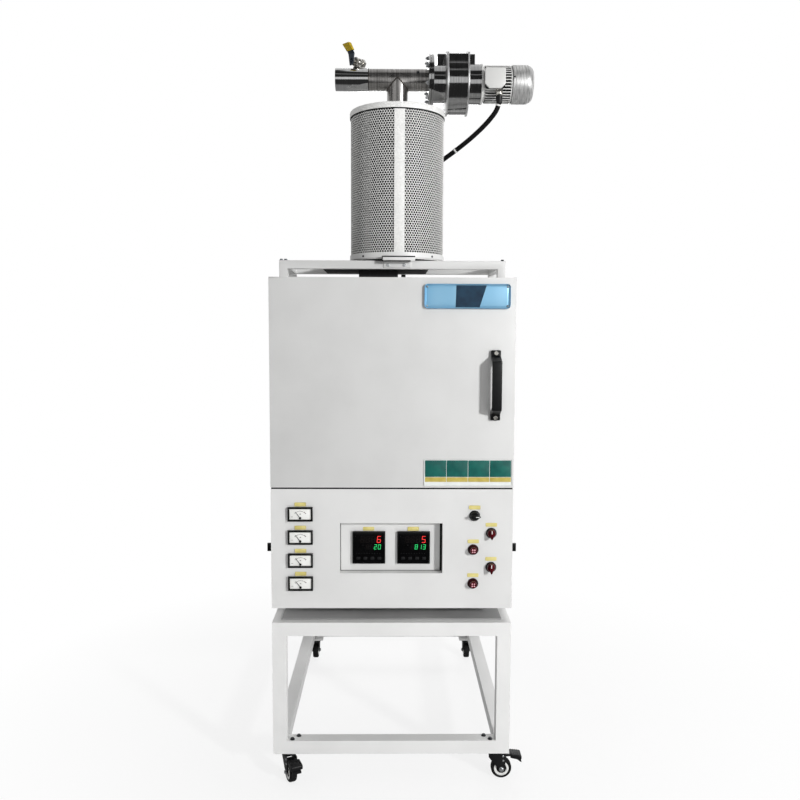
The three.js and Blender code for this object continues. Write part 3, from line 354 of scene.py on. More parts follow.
# Near-black sleeve behind the guard's holes: painted shade inside the guard.
liner_painted_shade = tyre_rubber("painted_shade_liner", "#030303", "#060606")
white_fibre = fibre_board("white_ceramic_fibre_board", "#E9E5DB", "#D8D3C6")
# Dark board for the flue; the same dark also paints shade on the underside of the guard's tray.
board_and_painted_shade = fibre_board("dark_silicate_board_and_painted_shade", "#1E2022", "#151618")
lever_steel = printed_film("blued_steel_lever", "#2E3640", "#252C35", 0.35, 0.6)
yellow_sleeve = moulded("yellow_pvc_sleeve", "#BFA41E", "#A88E14", 0.35, 2.0, 0.02)
cable_sheath = tyre_rubber("black_pvc_cable", "#070708", "#0C0C0D")
# Black rubber for the treads and gaskets; the same black paints shade in the window trim, under the guard
# cap and round the bracket lip.
rubber_and_painted_shade = tyre_rubber("black_polyurethane_and_painted_shade", "#0A0A0B", "#121213")
grey_ring = moulded("white_nylon", "#E6E6E4", "#DADAD8", 0.4)
door_rope = woven_rope()
carbide = silicon_carbide()
scaled_steel = oxidised_steel()


# Modelling helpers: everything is made in millimetres and finished by settle()
axis_turn = {
    "x": Matrix.Rotation(math.pi / 2, 4, "Y"),
    "y": Matrix.Rotation(-math.pi / 2, 4, "X"),
    "z": Matrix.Identity(4),
}


def start():
    """Clears the selection."""
    bpy.ops.object.select_all(action="DESELECT")


def only(obj):
    """Selects one object and makes it active."""
    start()
    obj.select_set(True)
    bpy.context.view_layer.objects.active = obj


def edit(mode="VERT"):
    """Starts editing the active mesh by vertices, edges or faces."""
    bpy.ops.object.mode_set(mode="EDIT")
    bpy.ops.mesh.select_mode(type=mode)


def leave():
    """Ends editing."""
    bpy.ops.object.mode_set(mode="OBJECT")


def slab(x, y, z, round_over=0.0, segments=2):
    """A block between ranges in X, Y and Z, with its edges rounded over."""
    start()
    size = (x[1] - x[0], y[1] - y[0], z[1] - z[0])
    bpy.ops.mesh.primitive_cube_add(size=1, location=(middle(x), middle(y), middle(z)), scale=size)
    bpy.ops.object.transform_apply(location=True, rotation=True, scale=True)
    if round_over:
        edit("EDGE")
        bpy.ops.mesh.select_all(action="SELECT")
        bpy.ops.mesh.bevel(offset=round_over, segments=segments, affect="EDGES")
        leave()
    return bpy.context.object


def plate(x, y, z, axis, corner, round_over=0.0, corner_segments=6):
    """A flat plate whose corners are rounded as seen along an axis, with a small edge all round."""
    made = slab(x, y, z)
    thin = "xyz".index(axis)
    for edge in made.data.edges:
        ends = [made.data.vertices[i].co for i in edge.vertices]
        edge.select = abs(ends[0][thin] - ends[1][thin]) > 0.9 * ((x, y, z)[thin][1] - (x, y, z)[thin][0])
    for part in (made.data.vertices, made.data.polygons):
        part.foreach_set("select", [False] * len(part))
    edit("EDGE")
    bpy.ops.mesh.bevel(offset=corner, segments=corner_segments, affect="EDGES")
    leave()
    if round_over:
        bevel(made, round_over, 2, 60)
    return made


def bevel(obj, width, segments=2, angle=30):
    """Rounds the edges sharper than the angle."""
    only(obj)
    made = obj.modifiers.new("edges", "BEVEL")
    made.width = width
    made.segments = segments
    made.limit_method = "ANGLE"
    made.angle_limit = math.radians(angle)
    bpy.ops.object.modifier_apply(modifier=made.name)
    return obj


def turned(axis, across, rings, sides=48, bore=False):
    """A turned piece: a circle drawn out through rings of (place along the axis, radius)."""
    start()
    along, radius = rings[0]
    fill = "NOTHING" if bore else "NGON"
    bpy.ops.mesh.primitive_circle_add(vertices=sides, radius=radius, fill_type=fill, location=(0, 0, 0))
    made = bpy.context.object
    edit()
    bpy.ops.mesh.select_all(action="SELECT")
    for next_along, next_radius in rings[1:]:
        bpy.ops.mesh.extrude_region_move(TRANSFORM_OT_translate={"value": (0, 0, next_along - along)})
        if next_radius != radius:
            share = next_radius / radius
            bpy.ops.transform.resize(value=(share, share, 1), center_override=(0, 0, 0))
        along, radius = next_along, next_radius
    bpy.ops.mesh.select_all(action="SELECT")
    bpy.ops.mesh.remove_doubles(threshold=0.001)
    bpy.ops.mesh.normals_make_consistent(inside=False)
    leave()
    place = {"x": (rings[0][0], *across), "y": (across[0], rings[0][0], across[1]),
             "z": (*across, rings[0][0])}[axis]
    made.data.transform(Matrix.Translation(place) @ axis_turn[axis])
    return made


def pipe_piece(axis, across, span, inner, outer, sides=96):
    """A plain tube between two places along an axis."""
    wall = [(span[0], inner), (span[0], outer), (span[1], outer), (span[1], inner), (span[0], inner)]
    return turned(axis, across, wall, sides, True)


def drawn_out(axis, outline, span, round_over=0.0, segments=2):
    """An outline in the plane across an axis, filled and drawn out along it."""
    order = {"x": (2, 0, 1), "y": (0, 2, 1), "z": (0, 1, 2)}[axis]
    points = []
    for a, b in outline:
        flat = (a, b, span[0])
        points.append(tuple(flat[i] for i in order))
    start()
    bpy.ops.mesh.primitive_circle_add(vertices=len(outline), radius=1, fill_type="NGON")
    made = bpy.context.object
    for vertex, point in zip(made.data.vertices, points):
        vertex.co = point
    edit()
    bpy.ops.mesh.select_all(action="SELECT")
    step = [0, 0, 0]
    step["xyz".index(axis)] = span[1] - span[0]
    bpy.ops.mesh.extrude_region_move(TRANSFORM_OT_translate={"value": step})
    bpy.ops.mesh.select_all(action="SELECT")
    bpy.ops.mesh.normals_make_consistent(inside=False)
    leave()
    if round_over:
        bevel(made, round_over, segments, 25)
    return made


def strand(points, radius, sides=4, closed=False, smooth=True):
    """A round bead or wire through the points, as a mesh."""
    start()
    data = bpy.data.curves.new("strand", "CURVE")
    data.dimensions = "3D"
    data.bevel_depth = radius
    data.bevel_resolution = sides // 2
    data.use_fill_caps = True
    data.resolution_u = 6
    line = data.splines.new("BEZIER" if smooth else "POLY")
    held = line.bezier_points if smooth else line.points
    held.add(len(points) - 1)
    for knot, point in zip(held, points):
        knot.co = point if smooth else (*point, 1)
        if smooth:
            knot.handle_left_type = knot.handle_right_type = "AUTO"
    line.use_cyclic_u = closed
    made = bpy.data.objects.new("strand", data)
    bpy.context.scene.collection.objects.link(made)
    only(made)
    bpy.ops.object.convert(target="MESH")
    return bpy.context.object


def copied(obj, move=(0, 0, 0), turn=0.0, axis="Z", about=(0, 0, 0)):
    """A copy with its own mesh, turned about an axis through a point and then moved."""
    made = bpy.data.objects.new(obj.name, obj.data.copy())
    bpy.context.scene.collection.objects.link(made)
    pivot = Matrix.Translation(about)
    spin = pivot @ Matrix.Rotation(turn, 4, axis) @ pivot.inverted()
    made.data.transform(Matrix.Translation(move) @ spin)
    return made


def joined(*parts):
    """The parts as one object."""
    parts = [part for part in parts if part]
    start()
    for part in parts:
        part.select_set(True)
    bpy.context.view_layer.objects.active = parts[0]
    if len(parts) > 1:
        bpy.ops.object.join()
    return bpy.context.object


def repeated(obj, moves):
    """The piece at each of the moves, joined into one."""
    made = joined(*[copied(obj, move) for move in moves])
    bpy.data.objects.remove(obj)
    return made


def ringed(obj, count, axis, about, first=0.0):
    """The piece repeated round an axis."""
    turns = [first + i * math.tau / count for i in range(count)]
    made = joined(*[copied(obj, (0, 0, 0), turn, axis, about) for turn in turns])
    bpy.data.objects.remove(obj)
    return made


def cut(obj, *tools):
    """Cuts the tools out of a piece."""
    for tool in tools:
        only(obj)
        made = obj.modifiers.new("cut", "BOOLEAN")
        made.operation = "DIFFERENCE"
        made.solver = "EXACT"
        made.object = tool
        bpy.ops.object.modifier_apply(modifier=made.name)
        bpy.data.objects.remove(tool)
    return obj


def merged(obj, *others):
    """Unites the others with a piece."""
    for other in others:
        only(obj)
        made = obj.modifiers.new("union", "BOOLEAN")
        made.operation = "UNION"
        made.solver = "EXACT"
        made.object = other
        bpy.ops.object.modifier_apply(modifier=made.name)
        bpy.data.objects.remove(other)
    return obj


def settle(obj, name, body, material, smooth=35, replaces=()):
    """Finishes a piece: into metres of the frame, with its material and body."""
    obj.data.transform(to_frame)
    obj.name = obj.data.name = name
    obj.data.materials.clear()
    obj.data.materials.append(material)
    only(obj)
    bpy.ops.object.shade_smooth_by_angle(angle=math.radians(smooth))
    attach(obj, body)
    if replaces:
        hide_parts(*replaces)
    return obj


def dressed(node, width, material, segments=2, smooth=40, angle=30, name=None):
    """A CAD node's own shape with its edges rounded over."""
    source = frame["nodes"][node]
    made = bpy.data.objects.new(node, source.data.copy())
    bpy.context.scene.collection.objects.link(made)
    made.data.transform(from_frame)
    only(made)
    if made.data.has_custom_normals:
        bpy.ops.mesh.customdata_custom_splitnormals_clear()
    edit()
    bpy.ops.mesh.select_all(action="SELECT")
    bpy.ops.mesh.remove_doubles(threshold=0.01)
    bpy.ops.mesh.dissolve_limited(angle_limit=math.radians(1))
    leave()
    if width:
        bevel(made, width, segments, angle)
    return settle(made, name or f"{node}_dressed", source["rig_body"], material, smooth, (node,))


def hex_bolt(axis, place, radius, height, side=1, washer=True):
    """A hexagon bolt head with a washer, standing on a face at that place; side is the way it points."""
    across = {"x": place[1:], "y": (place[0], place[2]), "z": place[:2]}[axis]
    foot = place["xyz".index(axis)]
    rise = side * height
    head = turned(axis, across, [(foot + rise * 0.12, radius), (foot + rise * 0.86, radius),
                                 (foot + rise, radius * 0.84)], 6)
    if not washer:
        return head
    ring = turned(axis, across, [(foot, radius * 1.3), (foot + rise * 0.2, radius * 1.3),
                                 (foot + rise * 0.24, radius * 1.2)], 20)
    return joined(head, ring)


def pan_screw(axis, place, radius, height, side=1):
    """A domed screw head with a cross slot."""
    across = {"x": place[1:], "y": (place[0], place[2]), "z": place[:2]}[axis]
    foot = place["xyz".index(axis)]
    rise = side * height
    head = turned(axis, across, [(foot, radius), (foot + rise * 0.45, radius * 0.97),
                                 (foot + rise * 0.8, radius * 0.75), (foot + rise, radius * 0.42),
                                 (foot + rise * 0.45, radius * 0.22)], 20)
    return head


set_camera()

# Motor cable, from the terminal box's gland round behind the guard to the gland on the roof
cable_diameter = 15.0
cable_route = [
    (326.1, 249, 2064.8), (326.1, 249, 2056), (326, 249.1, 2046), (318.5, 256, 2023), (302, 268, 2001),
    (280, 284, 1979), (252, 305, 1956), (221, 330, 1934), (191, 354, 1915), (164, 388, 1901),
    (134, 426, 1886), (99, 459, 1862), (66, 485, 1826), (45, 502, 1776), (38, 508, 1710),
    (38, 508, 1630), (38, 508, 1560), (38, 508, 1516.8),
]


tie_heights = {"cable_tie_upper": 2038, "cable_tie_lower": 1921}
tie_thick = 1.3
tie_half_width = 2.6
boot_length = 22.6


def catmull_rom(points, steps=8):
    """Centripetal Catmull-Rom points through the route, as in the CAD model."""
    held = [Vector(p) for p in points]
    held = [held[0] * 2 - held[1]] + held + [held[-1] * 2 - held[-2]]
    line = []
    for a, b, c, d in zip(held, held[1:], held[2:], held[3:]):
        knots = [0.0]
        for p, q in ((a, b), (b, c), (c, d)):
            knots.append(knots[-1] + (q - p).length ** 0.5)
        for i in range(steps):
            t = knots[1] + (knots[2] - knots[1]) * i / steps
            one = a.lerp(b, (t - knots[0]) / (knots[1] - knots[0]))
            two = b.lerp(c, (t - knots[1]) / (knots[2] - knots[1]))
            three = c.lerp(d, (t - knots[2]) / (knots[3] - knots[2]))
            left = one.lerp(two, (t - knots[0]) / (knots[2] - knots[0]))
            right = two.lerp(three, (t - knots[1]) / (knots[3] - knots[1]))
            line.append(left.lerp(right, (t - knots[1]) / (knots[2] - knots[1])))
    return line + [held[-2]]


def cable_band(line, at, radius, half):
    """A short ring round the cable where its route passes a height."""
    i = min(range(1, len(line) - 1), key=lambda k: abs(line[k].z - at))
    along = (line[i + 1] - line[i - 1]).normalized()
    ring = turned("z", (0, 0), [(-half, cable_diameter / 2 - 0.4), (-half, radius - 0.5),
                                (-half * 0.6, radius), (half * 0.6, radius), (half, radius - 0.5),
                                (half, cable_diameter / 2 - 0.4),
                                (-half, cable_diameter / 2 - 0.4)], 24, True)
    ring.data.transform(Matrix.Translation(line[i]) @ along.to_track_quat("Z", "Y").to_matrix().to_4x4())
    return ring


def motor_cable():
    """The cable with its two ties and its strain relief."""
    line = catmull_rom(cable_route)
    tube = strand(line, cable_diameter / 2, 12, smooth=False)
    tube = settle(tube, "motor_cable_sheath", "furnace", cable_sheath, 60, ("motor_cable",))
    for name, height in tie_heights.items():
        band = cable_band(line, height, cable_diameter / 2 + tie_thick, tie_half_width)
        settle(band, name, "furnace", grey_ring)
    top = cable_route[0][2] - 0.2
    end = top - boot_length
    boot = turned("z", cable_route[0][:2], [(top, 8.0), (top, 10.4), (top - 6.6, 10.2), (end + 2, 8.6),
                                            (end, 8.0), (top, 8.0)], 24, True)
    boot = settle(boot, "cable_boot", "furnace", black_nylon, 50)


motor_cable()


# Stand and casters
stand_tube = 40
caster_plate = 4.3
plate_reach = 65
caster_width = 22
hub_bore = 5.1
rim_radius = 22.2
pedal_reach = 60
pedal_half_width = 18
pedal_ribs = 4
wheel_seat = 22.4


def stand():
    """The stand, its caster bolts and the plinth on it."""
    dressed("stand_frame", 1.7, paint_stand, 3)
    (x0, x1), (y0, y1), _ = limits("stand_frame")
    rail_top = limits("caster_fork_front_left")[2][1] + caster_plate + stand_tube
    front, back = 10, stand_tube - 10
    moves = []
    for x, side in ((x0, 1), (x1, -1)):
        for y, way in ((y0, 1), (y1, -1)):
            moves.append((x + side * (plate_reach - 9), y + way * front, rail_top))
            moves.append((x + side * (plate_reach + 8), y + way * back, rail_top))
    bolt = hex_bolt("z", (0, 0, 0), 5.5, 5.5)
    settle(repeated(bolt, moves), "caster_bolts", "furnace", dark_screw)
    # The plinth gets the painted shade grey, for the shade under the case.
    dressed("plinth", 1.2, plinth_painted_shade)


def caster(name):
    """One caster's wheel, fork, pedal and small parts, built along X and turned to its trail."""
    pivot = joint_place(f"swivel_{name}")
    wheel_x, wheel_y, wheel_z = limits(f"caster_wheel_{name}")
    centre = Vector((middle(wheel_x), middle(wheel_y), 0))
    angle = math.atan2(centre.y - pivot.y, centre.x - pivot.x)
    trail = (Vector((pivot.x, pivot.y, 0)) - centre).length
    radius = (wheel_z[1] - wheel_z[0]) / 2
    axle = middle(wheel_z)

    def put(obj):
        obj.data.transform(Matrix.Translation((pivot.x, pivot.y, 0)) @ Matrix.Rotation(angle, 4, "Z"))
        return obj

    half = caster_width / 2
    tread = turned("y", (trail, axle), [
        (-half, wheel_seat), (-half, radius - 4), (-half + 1, radius - 2), (-half + 3.4, radius - 0.3),
        (-half + 5, radius), (half - 5, radius), (half - 3.4, radius - 0.3), (half - 1, radius - 2),
        (half, radius - 4), (half, wheel_seat), (half - 2.5, wheel_seat), (half - 2.5, 5), (-half + 2.5, 5),
        (-half + 2.5, wheel_seat), (-half, wheel_seat)], 56, True)
    settle(put(tread), f"wheel_tread_{name}", f"wheel_{name}", rubber_and_painted_shade, 30,
           (f"caster_wheel_{name}",))
    rims = []
    for side in (-1, 1):
        face = side * (half - 2.5)
        rims.append(turned("y", (trail, axle), [(face - side * 0.2, rim_radius),
                                                (face + side * 2.0, 22.0), (face + side * 2.4, 20.5),
                                                (face + side * 2.2, 16.4), (face + side * 1.2, 15.2),
                                                (face - side * 0.2, 15.0),
                                                (face - side * 0.2, rim_radius)], 48, True))
    settle(put(joined(*rims)), f"wheel_rim_ring_{name}", f"wheel_{name}", grey_ring)
    hubs = []
    for side in (-1, 1):
        face = side * (half - 2.6)
        hubs.append(turned("y", (trail, axle), [(face, hub_bore), (face, 9.5), (face + side * 2.3, 8.6),
                                                (face + side * 2.6, hub_bore),
                                                (face, hub_bore)], 32, True))
    settle(put(joined(*hubs)), f"wheel_hub_{name}", f"wheel_{name}", nickel)
    dressed(f"caster_fork_{name}", 0.8, black_nylon)
    outer = half + 1.6 + 3
    nuts = [hex_bolt("y", (trail, side * outer, axle), 5.6, 4.4, side) for side in (-1, 1)]
    settle(put(joined(*nuts)), f"caster_axle_nuts_{name}", f"caster_{name}", zinc_screw)
    dressed(f"brake_pedal_{name}", 1.4, black_nylon, 3)
    (_, pedal_top) = limits(f"brake_pedal_{name}")[2]
    tip = trail + pedal_reach
    pad = drawn_out("y", [(tip - 34, pedal_top + 2), (tip - 3, pedal_top - 1), (tip, pedal_top - 4),
                          (tip, pedal_top - 13), (tip - 4, pedal_top - 16), (tip - 34, pedal_top - 9)],
                    (-pedal_half_width, pedal_half_width), 2.2, 3)
    rib_y = (3 - pedal_half_width, pedal_half_width - 3)
    ribs = []
    for i in range(pedal_ribs):
        start_x = tip - 30 + i * 6
        ribs.append(slab((start_x, start_x + 2), rib_y, (pedal_top - 2, pedal_top + 3.2 - i * 0.6), 0.4))
    settle(put(joined(pad, *ribs)), f"pedal_pad_{name}", f"brake_{name}", black_nylon)
    pins = []
    for side in (-1, 1):
        face = side * (half + 4.4)
        for reach, height in ((trail + 4, pedal_top - 4), (trail + 5, axle + 27)):
            pins.append(turned("y", (reach, height), [(face, 3.2), (face + side * 0.9, 2.9),
                                                      (face + side * 1.6, 1.6)], 20))
    settle(put(joined(*pins)), f"caster_pins_{name}", f"caster_{name}", zinc_screw)


stand()
for corner in ("front_left", "front_right", "rear_left", "rear_right"):
    caster(corner)


# Case shells, the rear cover and what is inside
case_front = 48
cover_edge = 14
screw_rows = 6
screw_columns = 4
louvre_count = 9
louvre_pitch = 17
louvre_half_length = 70
louvre_start = 190
louvre_shift = -110
inlet_x = 250
inlet_rise = 70


def case():
    """The case shells with the seal, louvres, screws and glands on them."""
    dressed("lower_case", 1.3, paint_case, 3)
    dressed("upper_case", 1.3, paint_case, 3)
    dressed("rear_cover", 1.0, paint_case, 3)
    (x0, x1), _, (z0, z1) = limits("rear_cover")
    back = limits("stand_frame")[1][1]
    edge = cover_edge
    moves = []
    for i in range(screw_rows):
        height = z0 + edge + (z1 - z0 - 2 * edge) * i / (screw_rows - 1)
        moves += [(x0 + edge, back, height), (x1 - edge, back, height)]
    for i in range(1, screw_columns):
        across = x0 + edge + (x1 - x0 - 2 * edge) * i / screw_columns
        moves += [(across, back, z0 + edge), (across, back, z1 - edge)]
    settle(repeated(pan_screw("y", (0, 0, 0), 4.4, 2.4), moves), "rear_cover_screws", "furnace",
           zinc_screw)
    case_x = limits("upper_case")[0]
    seal_z = (limits("control_panel")[2][1] + 0.2, limits("door_shell")[2][0] - 0.3)
    seal = slab((case_x[0] + 2, case_x[1] - 2), (1, case_front - 0.3), seal_z, 0.3)
    settle(seal, "door_gap_seal", "furnace", rubber_and_painted_shade)
    vents = []
    for i in range(louvre_count):
        height = z0 + louvre_start + i * louvre_pitch
        hood = drawn_out("x", [(back - 0.5, height), (back + 6.5, height + 2), (back + 6.5, height + 3.2),
                               (back - 0.5, height + 9)], (-louvre_half_length, louvre_half_length), 0.8)
        vents += [copied(hood, (louvre_shift, 0, 0)), hood]
    settle(joined(*vents), "rear_cover_louvres", "furnace", paint_case)
    inlet = (inlet_x, z0 + inlet_rise)
    nut = turned("y", inlet, [(back, 16.5), (back + 5, 16.5), (back + 6, 15.6)], 6)
    dome = turned("y", inlet, [(back + 6, 14.4), (back + 15, 14.2), (back + 20, 11.5), (back + 22, 8.5),
                               (back + 14, 7.5)], 32)
    settle(joined(nut, dome), "inlet_gland_nut", "furnace", nickel)
    roof = limits("upper_case")[2][1]
    gland = cable_route[-1]
    base = turned("z", gland[:2], [(roof - 24, 16.2), (roof - 17, 16.2), (roof - 16, 15.2)], 6)
    cap = turned("z", gland[:2], [(roof - 16, 14.0), (roof - 5, 13.8), (roof - 0.5, 11.5), (roof, 9.2)], 32)
    settle(joined(base, cap), "roof_gland_nut", "furnace", nickel)


def chamber():
    """What the case holds: lining, hearth, elements, flue and hinge pins."""
    dressed("chamber_lining", 2.0, white_fibre)
    dressed("hearth_plate", 2.5, carbide, 3)
    for side in ("left", "right"):
        dressed(f"heating_element_{side}", 0, carbide, smooth=60)
    dressed("thermocouple", 0.8, white_fibre, smooth=50)
    dressed("flue_stack", 1.0, board_and_painted_shade)
    dressed("hinge_pin_upper", 0.6, paint_case)
    dressed("hinge_pin_lower", 0.6, satin_steel)


case()
chamber()


# Door with its handle, nameplate and safety strip
handle_foot = 10
handle_foot_length = 16
chamber_half_width = 200
chamber_z = (1023.6, 1323.6)
seal_overlap = 27
seal_bend = 16
rope_radius = 4.0
rope_y = 43.6


def door():
    """The door with its plug, seal rope and bow handle."""
    dressed("door_shell", 1.5, paint_case, 3)
    dressed("door_plug", 2.5, white_fibre, 3)
    dressed("door_handle", 3.0, black_zinc, 4, 50)
    handle_x, _, handle_z = limits("door_handle")
    front = -handle_foot
    screws = []
    for height in (handle_z[1] - handle_foot_length / 2, handle_z[0] + handle_foot_length / 2):
        screws.append(turned("y", (middle(handle_x), height), [
            (front + 1, 6.4), (front - 2.6, 6.2), (front - 3.4, 5.2), (front - 3.4, 3.0),
            (front - 0.9, 2.9)], 24))
    settle(joined(*screws), "handle_cap_screws", "door", nickel, 30)
    centre = middle(limits("hearth_plate")[0])
    left, right = (centre + side * (chamber_half_width + seal_overlap - seal_bend) for side in (-1, 1))
    low, high = (height - side * (seal_overlap - seal_bend) for height, side in zip(chamber_z, (1, -1)))
    path = []
    for i, (x, z) in enumerate(((left, low), (right, low), (right, high), (left, high))):
        for k in range(5):
            angle = math.pi + i * math.pi / 2 + k * math.pi / 8
            path.append((x + seal_bend * math.cos(angle), rope_y, z + seal_bend * math.sin(angle)))
    rope = strand(path, rope_radius, 8, closed=True, smooth=False)
    settle(rope, "door_seal_rope", "door", door_rope, 60)


name_plate_x = (90, 333)
name_plate_z = (1408, 1477)
name_plate_thick = 1.6
name_plate_corner = 9
strip_x = (92, 345)
strip_z = (900, 976)
strip_count = 4
strip_gap = 1.2
strip_border = 2.5


def name_plate():
    """A blue plate with a plain navy band and no lettering."""
    x, z, thick = name_plate_x, name_plate_z, name_plate_thick
    base = plate(x, (-thick, 0), z, "y", name_plate_corner, 0.4)
    settle(base, "name_plate", "door", blue_plate, 30)
    band = drawn_out("y", [(178, z[0] + 3), (246, z[0] + 3), (266, z[1] - 3), (180, z[1] - 3)],
                     (-thick - 0.35, -thick + 0.1), 0.15, 1)
    settle(band, "name_plate_band", "door", navy_film, 30)
    rivet = turned("y", (0, 0), [(0, 3.2), (-0.7, 3.0), (-1.5, 2.1), (-1.9, 0.8)], 20)
    moves = [(a, -thick, b) for a in (x[0] + 7.5, x[1] - 7.5) for b in (z[0] + 7.5, z[1] - 7.5)]
    settle(repeated(rivet, moves), "name_plate_rivets", "door", zinc_screw)


def safety_strip():
    """Four plain green tiles over ochre ones, without words or signs."""
    base = plate(strip_x, (-0.7, 0), strip_z, "y", 3, 0.2)
    settle(base, "strip_backing", "door", white_film, 30)
    width = (strip_x[1] - strip_x[0] - 2 * strip_border - strip_gap * (strip_count - 1)) / strip_count
    green = plate((0, width), (-1.15, -0.6), (strip_z[0] + 26, strip_z[1] - 2), "y", 1.0, 0.12, 3)
    ochre = plate((0, width), (-1.1, -0.6), (strip_z[0] + 11.5, strip_z[0] + 25), "y", 1.0, 0.12, 3)
    moves = [(strip_x[0] + strip_border + i * (width + strip_gap), 0, 0) for i in range(strip_count)]
    settle(repeated(green, moves), "strip_green_tiles", "door", green_film, 30)
    settle(repeated(ochre, moves), "strip_ochre_tiles", "door", gold_film, 30)


door()
name_plate()
safety_strip()


# Control panel: instruments in the recess, meters on the left, switches on the right
digit_segments = {
    "0": "abcdef", "1": "bc", "2": "abged", "3": "abgcd", "4": "fgbc", "5": "afgcd", "6": "afgecd",
    "7": "abc", "8": "abcdefg", "9": "abcdfg",
}
digit_width_share = 0.56
digit_gap_share = 0.24
digit_bar_share = 0.1
digit_slant = 0.1
readout_places = 4
key_count = 4
key_pitch = 20.5
lamp_count = 10
lamp_pitch = 7.6
dial_half_width = 30.8
dial_half_height = 15.3
scale_radius = 19.5
scale_spread = math.radians(50)
scale_ticks = 10


def digit(figure, right, top, height, front, lit=True):
    """Seven-segment figure whose top right corner is given; unlit gives the segments left dark."""
    width = height * digit_width_share
    bar = height * digit_bar_share
    left = right - width
    half = height / 2
    places = {
        "a": ((left, right), (top - bar, top)), "d": ((left, right), (top - height, top - height + bar)),
        "g": ((left, right), (top - half - bar / 2, top - half + bar / 2)),
        "b": ((right - bar, right), (top - half, top)),
        "c": ((right - bar, right), (top - height, top - half)),
        "f": ((left, left + bar), (top - half, top)), "e": ((left, left + bar), (top - height, top - half)),
    }
    made = []
    for segment, (x, z) in places.items():
        if (segment in digit_segments[figure]) != lit:
            continue
        flat = x[1] - x[0] > z[1] - z[0]
        tip = bar * 0.5
        inset = bar * 0.18
        if flat:
            outline = [(x[0] + inset, middle(z)), (x[0] + tip, z[0] + inset / 2),
                       (x[1] - tip, z[0] + inset / 2), (x[1] - inset, middle(z)),
                       (x[1] - tip, z[1] - inset / 2), (x[0] + tip, z[1] - inset / 2)]
        else:
            outline = [(middle(x), z[0] + inset), (x[1] - inset / 2, z[0] + tip),
                       (x[1] - inset / 2, z[1] - tip), (middle(x), z[1] - inset),
                       (x[0] + inset / 2, z[1] - tip), (x[0] + inset / 2, z[0] + tip)]
        made.append(drawn_out("y", outline, (front - 0.3, front)))
    if not made:
        return None
    whole = joined(*made)
    for vertex in whole.data.vertices:
        vertex.co.x += digit_slant * (vertex.co.z - top + half)
    return whole


def readout(figures, right, top, height, front, material, name):
    """A row of figures with the unused places dark."""
    pitch = height * (digit_width_share + digit_gap_share)
    lit, dark = [], []
    for i in range(readout_places):
        figure = figures[-1 - i] if i < len(figures) else "8"
        edge = right - i * pitch
        if i < len(figures):
            lit.append(digit(figure, edge, top, height, front))
            dark.append(digit(figure, edge, top, height, front, False))
        else:
            dark.append(digit(figure, edge, top, height, front))
    settle(joined(*lit), f"{name}_lit", "furnace",
           material)
    dark = [part for part in dark if part]
    if dark:
        settle(joined(*dark), f"{name}_dark", "furnace", dim_segment)


def controller(side, measured, target):
    """A panel controller: bezel, smoked face, two readouts, keys and small lamps."""
    node = f"controller_{side}"
    dressed(node, 1.3, black_abs, 3)
    x, (bezel, _), z = limits(node)
    face = bezel - 0.9
    settle(plate((x[0] + 4, x[1] - 4), (face, bezel + 0.5), (z[0] + 4, z[1] - 4), "y", 3, 0.4),
           f"{node}_face", "furnace", smoked_face, 30)
    right = x[1] - 13
    readout(measured, right, z[1] - 13, 20, face, red_led, f"{node}_value")
    readout(target, right, z[1] - 38, 14.5, face, green_led, f"{node}_target")
    key = plate((-5.5, 5.5), (face - 1.0, face + 0.2), (-4.2, 4.2), "y", 1.6, 0.4, 4)
    key_x = [x[0] + 17.5 + i * key_pitch for i in range(key_count)]
    settle(repeated(key, [(a, 0, z[0] + 17) for a in key_x]), f"{node}_keys", "furnace",
           grey_key)
    marks = []
    for i, a in enumerate(key_x):
        if i % 2:
            marks.append(drawn_out("y", [(a - 1.8, z[0] + 15.6), (a + 1.8, z[0] + 15.6), (a, z[0] + 18.6)],
                                   (face - 1.25, face - 0.9)))
        else:
            marks.append(drawn_out("y", [(a - 1.6, z[0] + 15.8), (a + 1.6, z[0] + 15.8),
                                         (a + 1.6, z[0] + 18.2), (a - 1.6, z[0] + 18.2)],
                                   (face - 1.25, face - 0.9)))
    lamps = [turned("y", (x[0] + 12 + i * lamp_pitch, z[0] + 31), [(face, 1.1), (face - 0.4, 0.9)], 12)
             for i in range(lamp_count)]
    lamps.append(turned("y", (x[0] + 9.5, z[1] - 14), [(face, 1.2), (face - 0.4, 1.0)], 12))
    lamps.append(turned("y", (x[0] + 31, z[1] - 40), [(face, 1.3), (face - 0.4, 1.1)], 12))
    settle(joined(*marks, *lamps), f"{node}_marks", "furnace", grey_key)


def tag(name, x, z, front):
    """A small yellow tag without lettering."""
    settle(plate((x - 16.5, x + 16.5), (front - 0.9, front), (z - 5.6, z + 5.6), "y", 2.2, 0.25, 4),
           name, "furnace", yellow_tag, 30)


